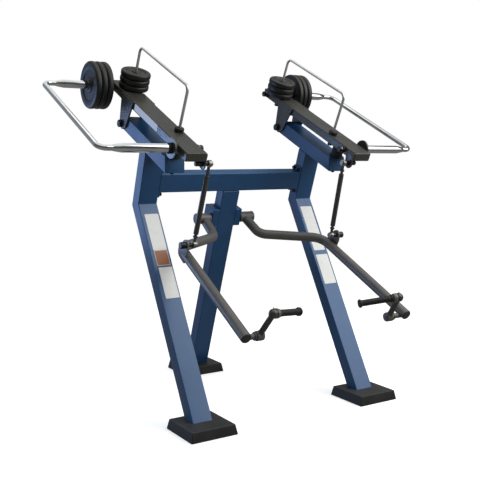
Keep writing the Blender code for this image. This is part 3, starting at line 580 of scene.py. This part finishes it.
for along, word in ((bigRail["low"], "lower"), (bigRail["high"], "upper")):
    inward = toLever @ alongLine((capNut["wall"], along, middle), (0, along, middle))
    washer = turnCap(capNut["washer"], capNut["washerThick"], capNut["washerRound"], 40)
    finishPair(placePiece(washer, inward), "rail_washer_" + word + "_SIDE", "stopRubber", "lever_SIDE",
               "rail_nut_" + word + "_SIDE", slot="black_cap_plastic")
    nut = hexPrism(capNut["nut"], capNut["nutEnd"] - capNut["washerThick"] + 2 * capNut["overlap"])
    nut = placePiece(nut, inward @ shift(0, 0, capNut["washerThick"] - capNut["overlap"]))
    finishPair(nut, "rail_nut_" + word + "_body_SIDE", "zincPlate", "lever_SIDE")
    cap = turnCap(capNut["cap"], capNut["capEnd"] - capNut["nutEnd"], capNut["capRound"], 40, 0.0015)
    cap = placePiece(cap, inward @ shift(0, 0, capNut["nutEnd"]))
    finishPair(cap, "rail_nut_" + word + "_cap_SIDE", "capPlastic", "lever_SIDE")

for along, word in ((smallRail["low"], "lower"), (smallRail["high"], "upper")):
    cap = turnCap(railFoot["radius"], railFoot["height"], railFoot["round"], 32, 0.001)
    downward = toLever @ alongLine((smallRail["x"], along, railFoot["from"]), (smallRail["x"], along, 0))
    finishPair(placePiece(cap, downward), "small_rail_nut_" + word + "_SIDE", "capPlastic", "lever_SIDE")

# Pivot pin: one turned piece, a domed cap at each end with a shallow dish in it
pin = {"half": 0.0721, "cap": 0.0222, "length": 0.019, "shaft": 0.012, "round": 0.006, "edge": 0.0015,
       "dish": 0.0012}
capEnd = pin["half"] + pin["length"]
upper = [(0, capEnd - pin["edge"]), (pin["cap"] * 0.45, capEnd - pin["dish"]), (pin["cap"] * 0.6, capEnd)]
upper += arcPoints((pin["cap"] - pin["round"], capEnd - pin["round"]), pin["round"], 90, 0)
upper += [(pin["cap"], pin["half"] + pin["edge"]), (pin["cap"] - pin["edge"], pin["half"]),
          (pin["shaft"], pin["half"])]
lower = [(radius, -height) for radius, height in reversed(upper)]
station, pivot = drawing["stationX"], drawing["pivot"]
pivotPin = placePiece(turnPiece(upper + lower, 48), toWorld @ alongLine((station, *pivot), (2, *pivot)))
finishPair(pivotPin, "pivot_caps_SIDE", "capPlastic", "frame", "pivot_pin_SIDE")

# Rubber stop under the lever: a waisted buffer on a thin flange
stop = {"radius": 0.0360, "height": 0.0714, "round": 0.007, "along": -0.558, "from": 0.0513,
        "waist": ((0, 0.040), (-0.0015, 0.022), (-0.001, 0.008)),
        "flange": ((0.0045, 0.0055), (0.005, 0.001), (0.0045, 0))}
profile = [(0, stop["height"])] + arcPoints((stop["radius"] - stop["round"], stop["height"] - stop["round"]),
                                            stop["round"], 90, 10)
profile += [(stop["radius"] + out, height) for out, height in stop["waist"] + stop["flange"]] + [(0, 0)]
rubberStop = turnPiece(profile, 48)
placePiece(rubberStop, toLever @ shift(station, stop["along"], stop["from"]))
finishPair(rubberStop, "rubber_stop_SIDE", "stopRubber", "frame", "lever_stop_SIDE")
print("stops, collars, nuts and caps made")


# Hanger on the lever and the push rod

fitGap = 0.0003  # air between pieces that turn on each other
rodTop, rodLow = Vector((0.458, 0.156, 1.410)), Vector((0.480, 0.286, 0.968))
eyeHalf = 0.0105
hanger = {"inner": 0.4945, "thick": 0.008, "end": 0.031, "front": -0.780, "top": 0.167, "bottom": 0.123,
          "corner": 0.018, "bevel": 0.0012}
local = toLever.inverted() @ toWorld @ rodTop
outline = arcPoints((local.y, local.z), hanger["end"], 190, 350, 14)
outline += [(local.y + 0.040, hanger["bottom"] + 0.004)]
outline += arcPoints((local.y + 0.026, hanger["top"] - hanger["corner"]), hanger["corner"], 0, 90)
outline += [(hanger["front"] + 0.008, hanger["top"]), (hanger["front"] + 0.003, hanger["top"] - 0.006),
            (hanger["front"] + 0.003, hanger["bottom"])]
plate = cutPlate(outline, (hanger["inner"], hanger["inner"] + hanger["thick"]), hanger["bevel"])
finishPair(placePiece(plate, toLever), "rod_hanger_plate_SIDE", "graphitePowderCoat", "lever_SIDE",
           "rod_bracket_SIDE")


def crossPiece(model, centre, x, name, finish, body, *replaced):
    # a turned piece laid along X, its foot at x on the line through a point of the drawing
    matrix = toWorld @ alongLine((x, centre.y, centre.z), (x + 1, centre.y, centre.z))
    finishPair(placePiece(model, matrix), name, finish, body, *replaced)


# Along the hanger's bolt, with its plate between spacer and collar: where each piece starts and ends, then
# its radius, rounding, segments, chamfer and finish
eyeFace = rodTop.x + eyeHalf
hangerBolt = {
    "spacer": (eyeFace + fitGap, hanger["inner"] + 0.0005, 0.0125, 0.0015, 32, 0, "capPlastic"),
    "collar": (0.5032, 0.524, 0.0150, 0.003, 40, 0.001, "capPlastic"),
    "cap": (0.524, 0.546, 0.0138, 0.005, 40, 0, "capPlastic"),
    "bolt_head": (rodTop.x - 0.0180, rodTop.x - 0.0105, 0.0125, 0.002, 32, 0, "zincPlate"),
}
for word, (start, end, radius, rounding, segments, foot, finish) in hangerBolt.items():
    piece = turnCap(radius, end - start, rounding, segments, foot)
    crossPiece(piece, rodTop, start, "hanger_" + word + "_SIDE", finish, "lever_SIDE")

# Push rod: a thick tube necked down at both ends, a lock nut on each neck, an eye at each end
rod = {"radius": 0.0145, "neck": 0.0085, "neckEnd": (0.012, 0.010), "tubeEnd": (0.060, 0.066),
       "nut": 0.0140, "nutThick": 0.0095, "nutStart": (0.042, 0.052), "eye": 0.0195,
       "upperBore": 0.0084, "lowerBore": 0.0118}
length = (rodTop - rodLow).length
bottom, top = rod["tubeEnd"][0], length - rod["tubeEnd"][1]
profile = [(0, length - rod["neckEnd"][1]), (rod["neck"], length - rod["neckEnd"][1]), (rod["neck"], top),
           (rod["radius"] - 0.001, top - 0.002), (rod["radius"], top - 0.005),
           (rod["radius"], bottom + 0.005), (rod["radius"] - 0.001, bottom + 0.002), (rod["neck"], bottom),
           (rod["neck"], rod["neckEnd"][0]), (0, rod["neckEnd"][0])]
upright = toWorld @ alongLine(rodLow, rodTop)
finishPair(placePiece(turnPiece(profile, 32), upright), "push_rod_shaft_SIDE", "graphitePowderCoat",
           "push_rod_SIDE", "push_rod_SIDE")
for start, word in ((rod["nutStart"][0], "lower"), (length - rod["nutStart"][1], "upper")):
    nut = hexPrism(rod["nut"], rod["nutThick"], 0.001)
    placePiece(nut, upright @ shift(0, 0, start))
    finishPair(nut, "push_rod_nut_" + word + "_SIDE", "graphitePowderCoat", "push_rod_SIDE")
for centre, bore, word in ((rodTop, rod["upperBore"], "upper"), (rodLow, rod["lowerBore"], "lower")):
    eye = turnRing(rod["eye"], bore, 2 * eyeHalf, 0.003, 40)
    crossPiece(eye, centre, centre.x - eyeHalf, "rod_end_" + word + "_SIDE", "zincPlate", "push_rod_SIDE")
print("hanger and push rod made")


# Exercise arm: a bent tube from its hub tube to its end plug, with the push rod's lug at the elbow

arm = {"radius": 0.0285, "start": (0.150, 0.7270, 1.0475), "shoulder": (0.162, 0.597, 0.965),
       "elbow": (0.500, 0.400, 0.941), "end": (0.531, -0.320, 0.575), "bends": (0.080, 0.120),
       "plugShy": 0.0012, "plugThick": 0.006, "plugRound": 0.0035}
corners = [Vector(arm[key]) for key in ("start", "shoulder", "elbow", "end")]
tube = placePiece(bendTube(corners, arm["bends"], arm["radius"], 12, 14), toWorld)
finishPair(tube, "arm_bent_tube_SIDE", "greyPowderCoat", "arm_SIDE", "arm_tube_SIDE")
plug = turnCap(arm["radius"] - arm["plugShy"], arm["plugThick"], arm["plugRound"], 48)
lastRun = (corners[-1] - corners[-2]).normalized()
plug = placePiece(plug, toWorld @ alongLine(corners[-1] - lastRun * 0.001, corners[-1] + lastRun))
finishPair(plug, "arm_end_plug_SIDE", "plugPlastic", "arm_SIDE")

hub = {"axis": (0.750, 1.063), "start": 0.108, "end": 0.205, "radius": 0.034, "edge": 0.0015,
       "discThick": 0.0065, "tubeShy": 0.0013, "bore": 0.0165, "boreDepth": 0.010}
run = hub["end"] - hub["start"]
profile = [(0, run)] + arcPoints((hub["radius"] - hub["edge"], run - hub["edge"]), hub["edge"], 90, 0, 3)
profile += [(hub["radius"], run - hub["discThick"]), (hub["radius"] - hub["tubeShy"], run - 0.0075),
            (hub["radius"] - hub["tubeShy"], hub["edge"]), (hub["radius"] - 0.003, 0), (hub["bore"], 0),
            (hub["bore"], hub["boreDepth"]), (0, hub["boreDepth"])]
hubTube = turnPiece(profile, 56)
placePiece(hubTube, toWorld @ alongLine((hub["start"], *hub["axis"]), (1, *hub["axis"])))
finishPair(hubTube, "arm_hub_tube_SIDE", "greyPowderCoat", "arm_SIDE", "arm_hub_SIDE")

lug = {"outline": [(0.262, 0.972), (0.264, 0.982), (0.270, 0.991), (0.280, 0.997), (0.290, 0.998),
                   (0.306, 0.995), (0.322, 0.984), (0.366, 0.952), (0.373, 0.940), (0.375, 0.926),
                   (0.373, 0.912), (0.366, 0.901), (0.320, 0.868), (0.313, 0.865), (0.306, 0.867),
                   (0.266, 0.936)],
       "x": (0.521, 0.531), "bevel": 0.0012}
lugBolt = {"cap": 0.0190, "capLength": 0.034, "spacer": 0.0125, "head": 0.0150, "headThick": 0.0075,
           "headBack": 0.0180, "shank": 0.008, "length": 0.052}
plate = placePiece(cutPlate(lug["outline"], lug["x"], lug["bevel"]), toWorld)
finishPair(plate, "arm_lug_plate_SIDE", "greyPowderCoat", "arm_SIDE")
cap = turnCap(lugBolt["cap"], lugBolt["capLength"], 0.003, 48, 0.001)
crossPiece(cap, rodLow, lug["x"][1] + fitGap, "lug_bolt_cap_SIDE", "capPlastic", "arm_SIDE", "lug_bolt_SIDE")
spacer = turnCap(lugBolt["spacer"], lug["x"][0] - rodLow.x - eyeHalf - 2 * fitGap, 0.0015, 32)
crossPiece(spacer, rodLow, rodLow.x + eyeHalf + fitGap, "lug_bolt_spacer_SIDE", "capPlastic", "arm_SIDE")
head, thick = lugBolt["head"], lugBolt["headThick"]
shank = turnPiece([(0, lugBolt["length"]), (lugBolt["shank"], lugBolt["length"]), (lugBolt["shank"], thick),
                   (head - 0.0005, thick - 0.0003), (head, thick - 0.0015), (head, 0.001), (head - 0.001, 0),
                   (0, 0)], 32)
crossPiece(shank, rodLow, rodLow.x - lugBolt["headBack"], "lug_bolt_shank_SIDE", "zincPlate", "arm_SIDE")
print("arms made")


# Handle: knuckle on the arm's spigot, link, ball joint with a collar, and the rubber grip

handle = {"swivel": (0.432, -0.285, 0.5700), "half": 0.0225, "knuckle": 0.0258, "knuckleBore": 0.0112,
          "ball": (0.4125, -0.379, 0.6952), "ballRadius": 0.0245, "gripEnd": (0.1973, -0.3014, 0.6690)}
swivel, ball, gripEnd = (Vector(handle[key]) for key in ("swivel", "ball", "gripEnd"))
spigot = {"length": 0.090, "radius": 0.0150, "flange": 0.0220, "pin": 0.0108, "pinOut": 0.004,
          "pinEnd": 0.006}
flangeStart = handle["half"] + fitGap
profile = [(0, spigot["length"]), (spigot["radius"], spigot["length"]),
           (spigot["radius"], flangeStart + 0.0095), (spigot["flange"] - 0.0025, flangeStart + 0.0090)]
profile += arcPoints((spigot["flange"] - 0.0015, flangeStart + 0.0075), 0.0015, 90, 0, 3)
profile += [(spigot["flange"], flangeStart + 0.0042), (spigot["pin"], flangeStart + 0.0040),
            (spigot["pin"], -handle["half"] - spigot["pinOut"]),
            (spigot["pin"] - 0.001, -handle["half"] - spigot["pinEnd"]),
            (0, -handle["half"] - spigot["pinEnd"])]
crossPiece(turnPiece(profile, 40), swivel, swivel.x, "handle_spigot_SIDE", "greyPowderCoat", "arm_SIDE")
# outer, inner, height and rounding of the rings that close the two joints
jointRings = {"washer": (0.0232, 0.0110, 0.0036, 0.001), "washerGap": 0.0001,
              "seal": (0.0238, 0.0100, 0.0052, 0.001), "sealStart": 0.0070}
washer = turnRing(*jointRings["washer"], 40)
crossPiece(washer, swivel, swivel.x + flangeStart + jointRings["washerGap"], "handle_washer_SIDE",
           "capPlastic", "arm_SIDE")
knuckle = turnRing(handle["knuckle"], handle["knuckleBore"], 2 * handle["half"], 0.006)
crossPiece(knuckle, swivel, swivel.x - handle["half"], "handle_knuckle_SIDE", "greyPowderCoat", "handle_SIDE",
           "handle_link_SIDE")

link = {"radius": 0.0155, "end": 0.157, "start": 0.020, "root": 0.0022}
profile = [(0, link["end"]), (link["radius"], link["end"]), (link["radius"], 0.029),
           (link["radius"] + 0.002, 0.0265), (link["radius"] + link["root"], link["start"]),
           (0, link["start"])]
bar = placePiece(turnPiece(profile, 36), toWorld @ alongLine(swivel, ball))
finishPair(bar, "handle_link_bar_SIDE", "graphitePowderCoat", "handle_SIDE")

gripLine = toWorld @ alongLine(ball, gripEnd)
cup = {"end": 0.036, "endRadius": 0.0195, "start": 0.0122, "radius": 0.0258}
profile = [(0, cup["end"]), (cup["endRadius"], cup["end"])] + arcPoints((0.0215, 0.030), 0.004, 70, 0, 3)
profile += [(cup["radius"], cup["start"] + 0.0013), (cup["radius"] - 0.0008, cup["start"]),
            (0, cup["start"])]
ballCollar = placePiece(turnPiece(profile, 48), gripLine)
finishPair(ballCollar, "handle_ball_collar_SIDE", "greyPowderCoat", "handle_SIDE")
seal = turnRing(*jointRings["seal"])
placePiece(seal, gripLine @ shift(0, 0, jointRings["sealStart"]))
finishPair(seal, "handle_ball_seal_SIDE", "capPlastic", "handle_SIDE")
profile = [(0, 0.0068), (handle["ballRadius"] - 0.002, 0.0068), (handle["ballRadius"], 0.0050)]
profile += arcPoints((0, -0.0010), handle["ballRadius"], 0, -90, 14)
halfBall = placePiece(turnPiece(profile, 48), gripLine)
finishPair(halfBall, "handle_ball_SIDE", "graphitePowderCoat", "handle_SIDE")
nippleProfile = [(0, 0.0310), (0.002, 0.0310), (0.003, 0.0297), (0.0025, 0.0280), (0.0035, 0.0267),
                 (0.0035, 0.022), (0, 0.022)]  # radius, and height over the ball's middle
nipple = placePiece(turnPiece(nippleProfile, 20), toWorld @ shift(*ball))
finishPair(nipple, "handle_grease_nipple_SIDE", "zincPlate", "handle_SIDE")

grip = {"radius": 0.0174, "start": 0.0365, "endShy": 0.001, "flange": 0.0230, "ribPitch": 0.0085,
        "ribDepth": 0.0015}
first, last = grip["start"], (gripEnd - ball).length - grip["endShy"]
radius, groove = grip["radius"], grip["radius"] - grip["ribDepth"]
profile = [(0, last), (0.018, last)] + arcPoints((0.0200, last - 0.003), 0.003, 80, 0, 4)
profile += [(grip["flange"], last - 0.009)] + arcPoints((0.0200, last - 0.009), 0.003, 0, -60, 3)
profile += [(radius, last - 0.014)]
ribCount = int((last - 0.020 - (first + 0.016)) / grip["ribPitch"])
for index in range(ribCount):  # shallow ribs between the two flanges
    ribTop = last - 0.018 - index * grip["ribPitch"]
    profile += [(radius, ribTop), (groove, ribTop - 0.0014), (groove, ribTop - 0.0030),
                (radius, ribTop - 0.0044)]
profile += [(radius, first + 0.012), (0.0212, first + 0.0095), (0.0218, first + 0.008),
            (0.0218, first + 0.0025), (0.0205, first), (0, first)]
sleeve = placePiece(turnPiece(profile, 48), gripLine)
finishPair(sleeve, "rubber_grip_SIDE", "stopRubber", "grip_SIDE", "grip_SIDE")
print("handles made")


# Bolts of the crossbeam's flanges, and the rubber stop's bolt under each base beam

flange = {"face": 0.4907, "depths": (0.020, 0.060), "heights": (-0.016, 0.131), "cap": 0.0105,
          "length": 0.018, "round": 0.0045}
knee = drawing["knee"]
slabFront = knee[0] - math.tan(math.radians(drawing["postLean"])) * (drawing["crossBottom"] - knee[1])
toSlab = toWorld @ shift(0, slabFront, drawing["crossBottom"]) @ turned(drawing["postLean"], "X")
model = turnCap(flange["cap"], flange["length"], flange["round"], 32, 0.001)
for row, height in enumerate(flange["heights"]):
    for column, depth in enumerate(flange["depths"]):
        matrix = toSlab @ alongLine((flange["face"], depth, height), (0, depth, height))
        name = "flange_bolt_cap_" + ("lower", "upper")[row] + "_" + ("front", "rear")[column] + "_SIDE"
        finishPair(copyPiece(model, matrix), name, "capPlastic", "frame")
bpy.data.objects.remove(model)

beamBolt = {"radius": 0.0125, "height": 0.022, "round": 0.006, "along": -0.5666, "underside": -0.0290}
model = turnCap(beamBolt["radius"], beamBolt["height"], beamBolt["round"], 32, 0.001)
matrix = toLever @ alongLine((station, beamBolt["along"], beamBolt["underside"]),
                             (station, beamBolt["along"], -1))
finishPair(placePiece(model, matrix), "beam_end_bolt_SIDE", "capPlastic", "frame")
print("flange and beam bolts made")


# Plain vinyl panels on the leg fronts and the levers' outer sides. A leg's rows are inner and outer edge,
# and how far below the knee the panel starts and ends.

panels = {"thick": 0.0006, "margin": 0.003, "lever": (-0.421, -0.112, 0.1315, 0.1700),
          "left": ((0.5130, 0.6000, 0.065, 0.292), (0.5150, 0.5985, 0.2925, 0.3880),
                   (0.5110, 0.5960, 0.398, 0.585)),
          "right": ((0.5200, 0.6080, 0.058, 0.370), (0.5200, 0.6120, 0.400, 0.600)), "fieldRow": 1}


def roundedPanel(yLow, yHigh, zLow, zHigh, corner=0.005):
    outline = arcPoints((yHigh - corner, zHigh - corner), corner, 0, 90, 4)
    outline += arcPoints((yLow + corner, zHigh - corner), corner, 90, 180, 4)
    outline += arcPoints((yLow + corner, zLow + corner), corner, 180, 270, 4)
    outline += arcPoints((yHigh - corner, zLow + corner), corner, 270, 360, 4)
    return cutPlate(outline, (0, panels["thick"]), 0)


toLegFront = toWorld @ shift(0, *knee) @ turned(-drawing["legLean"], "X") @ turned(-90, "Z")
for side, sign in (("left", -1), ("right", 1)):
    for index, (inner, outer, top, bottom) in enumerate(panels[side]):
        across = sorted((sign * inner, sign * outer))
        panel = placePiece(roundedPanel(*across, -bottom, -top), toLegFront)
        finishPiece(panel, "leg_panel_" + str(index + 1) + "_" + side, "panelVinyl", "frame")
# the small panel has a plain brown field with a pale margin
inner, outer, top, bottom = panels["left"][panels["fieldRow"]]
margin = panels["margin"]
field = roundedPanel(-outer + margin, -inner - margin, -bottom + margin, -top - margin, 0.003)
placePiece(field, toLegFront @ shift(panels["thick"] / 2, 0, 0))
finishPiece(field, "leg_panel_field_left", "brownVinyl", "frame")
panel = roundedPanel(*panels["lever"], 0.004)
placePiece(panel, toLever @ shift(station + drawing["halfTube"], 0, 0))
finishPair(panel, "lever_panel_SIDE", "panelVinyl", "lever_SIDE")
print("panels made")


# Floor, light and camera

studio = {"floorColour": "#f4f4f2", "floorPatches": "#fbfbfa", "patchMm": 1250, "floorSize": 14.0,
          "floorGlow": 0.5}
clearSelection()
bpy.ops.mesh.primitive_plane_add(size=studio["floorSize"], location=(0, 0, 0))
floor = bpy.context.object
floor.name = "studio_floor"
floorMaterial, tree, shader, cloud = startMaterial("paleStudioFloor", {
    "Roughness": 0.9, "Emission Color": (1, 1, 1, 1), "Emission Strength": studio["floorGlow"]},
    (studio["patchMm"], 2.0))
tree.links.new(layerColours(tree, studio["floorColour"], (cloud, studio["floorPatches"])),
               shader.inputs["Base Color"])
floor.data.materials.append(floorMaterial)
floor.visible_diffuse = False  # what it throws back comes from the room's own ground colour
floor.visible_glossy = False


# A sun has its angle in degrees, a softbox its size in metres. Three softboxes light only some finishes, or
# all but some, so that each finish reflects what it does in the open.
lamps = {
    "overhead_diffuser": {"kind": "SUN", "place": (0.3, -0.3, 5), "target": (0, 0, 0), "power": 0.9,
                          "colour": "#fffefb", "angle": 80},
    "back_left_softbox": {"kind": "AREA", "place": (-2.15, 2.05, 1.15), "target": (-0.5, -0.2, 1.15),
                          "power": 29, "colour": "#9cc0ff", "size": 1.15,
                          "allBut": ["bluePowderCoat", "polishedChrome", "satinChrome"]},
    "frame_softbox": {"kind": "AREA", "place": (-1.75, 1.9, 1.30), "target": (-0.5, -0.1, 1.2),
                      "power": 11, "colour": "#9cc0ff", "size": 1.2, "only": ["bluePowderCoat"]},
    "rail_softbox": {"kind": "AREA", "place": (0, 3.6, 4.6), "target": (0, 0, 1.5), "power": 46,
                     "colour": "#ffffff", "size": 4.6, "only": ["polishedChrome", "satinChrome"]},
    "front_right_softbox": {"kind": "AREA", "place": (2.95, -2.75, 3.9), "target": (0, 0, 0.9),
                            "power": 198, "colour": "#ffffff", "size": 4.5},
}
for name, settings in lamps.items():
    clearSelection()
    bpy.ops.object.light_add(type=settings["kind"], location=settings["place"])
    lamp = bpy.context.object
    lamp.name = name
    lamp.data.energy = settings["power"]
    lamp.data.color = hexColour(settings["colour"])[:3]
    aim = Vector(settings["target"]) - Vector(settings["place"])
    lamp.rotation_euler = aim.to_track_quat("-Z", "Y").to_euler()
    if "angle" in settings:
        lamp.data.angle = math.radians(settings["angle"])
    else:
        lamp.data.size = settings["size"]
    for key, linkState in (("only", "INCLUDE"), ("allBut", "EXCLUDE")):
        if key in settings:
            pickOnly(lamp)
            lit = [finishes[finish] for finish in settings[key]]
            for piece in bpy.context.scene.objects:
                if piece.type == "MESH" and piece.data.materials and piece.data.materials[0] in lit:
                    piece.select_set(True)
            bpy.ops.object.light_linking_receivers_link(link_state=linkState)

# The room: bright overhead and dim round the walls, plain white where the camera looks past the object. Each
# part over the horizon's colour has its axis, where it starts and is full, and its colour.
room = {"horizon": "#3b4046", "backWall": ("Y", 0.25, 0.75, "#8c929c"),
        "zenith": ("Z", 0.1, 0.9, "#929390"), "ground": ("Z", 0.0, -0.4, "#86857f")}
world = bpy.data.worlds.new("studio")
bpy.context.scene.world = world
world.use_nodes = True
tree = world.node_tree
direction = addNode(tree, "ShaderNodeSeparateXYZ", None,
                    {0: addNode(tree, "ShaderNodeTexCoord").outputs["Generated"]})
layers = []
for part in ("backWall", "zenith", "ground"):
    axis, start, full, colour = room[part]
    share = addNode(tree, "ShaderNodeMapRange", {"From Min": start, "From Max": full},
                    {"Value": direction.outputs[axis]})
    layers.append((share.outputs["Result"], colour))
background = tree.nodes["Background"]
tree.links.new(layerColours(tree, room["horizon"], *layers), background.inputs["Color"])
white = addNode(tree, "ShaderNodeBackground", {"Color": (1, 1, 1, 1), "Strength": 1.0})
seen = addNode(tree, "ShaderNodeLightPath").outputs["Is Camera Ray"]
mixed = addNode(tree, "ShaderNodeMixShader", None, {0: seen, 1: background.outputs[0], 2: white.outputs[0]})
tree.links.new(mixed.outputs[0], tree.nodes["World Output"].inputs["Surface"])

# The camera was worked out from points of the object that mirror each other
lens = {"place": (-2.5796, -3.4548, 1.4754), "yaw": 32.673, "pitch": -6.406, "roll": 0.247,
        "focalPixels": 789.77, "picturePixels": 480, "sensor": 36}
yaw, pitch, roll = (math.radians(lens[key]) for key in ("yaw", "pitch", "roll"))
forward = Vector((math.sin(yaw) * math.cos(pitch), math.cos(yaw) * math.cos(pitch), math.sin(pitch)))
level = Vector((math.cos(yaw), -math.sin(yaw), 0))
top = level.cross(forward)
right = level * math.cos(roll) + top * math.sin(roll)
top = top * math.cos(roll) - level * math.sin(roll)
clearSelection()
bpy.ops.object.camera_add()
camera = bpy.context.object
turn = Matrix((right, top, -forward)).transposed().to_4x4()
camera.matrix_world = toWorld @ shift(*lens["place"]) @ turn
camera.data.sensor_width = lens["sensor"]
camera.data.lens = lens["focalPixels"] / lens["picturePixels"] * lens["sensor"]
bpy.context.scene.camera = camera
bpy.context.scene.view_settings.view_transform = "Standard"
print("floor, light and camera set")
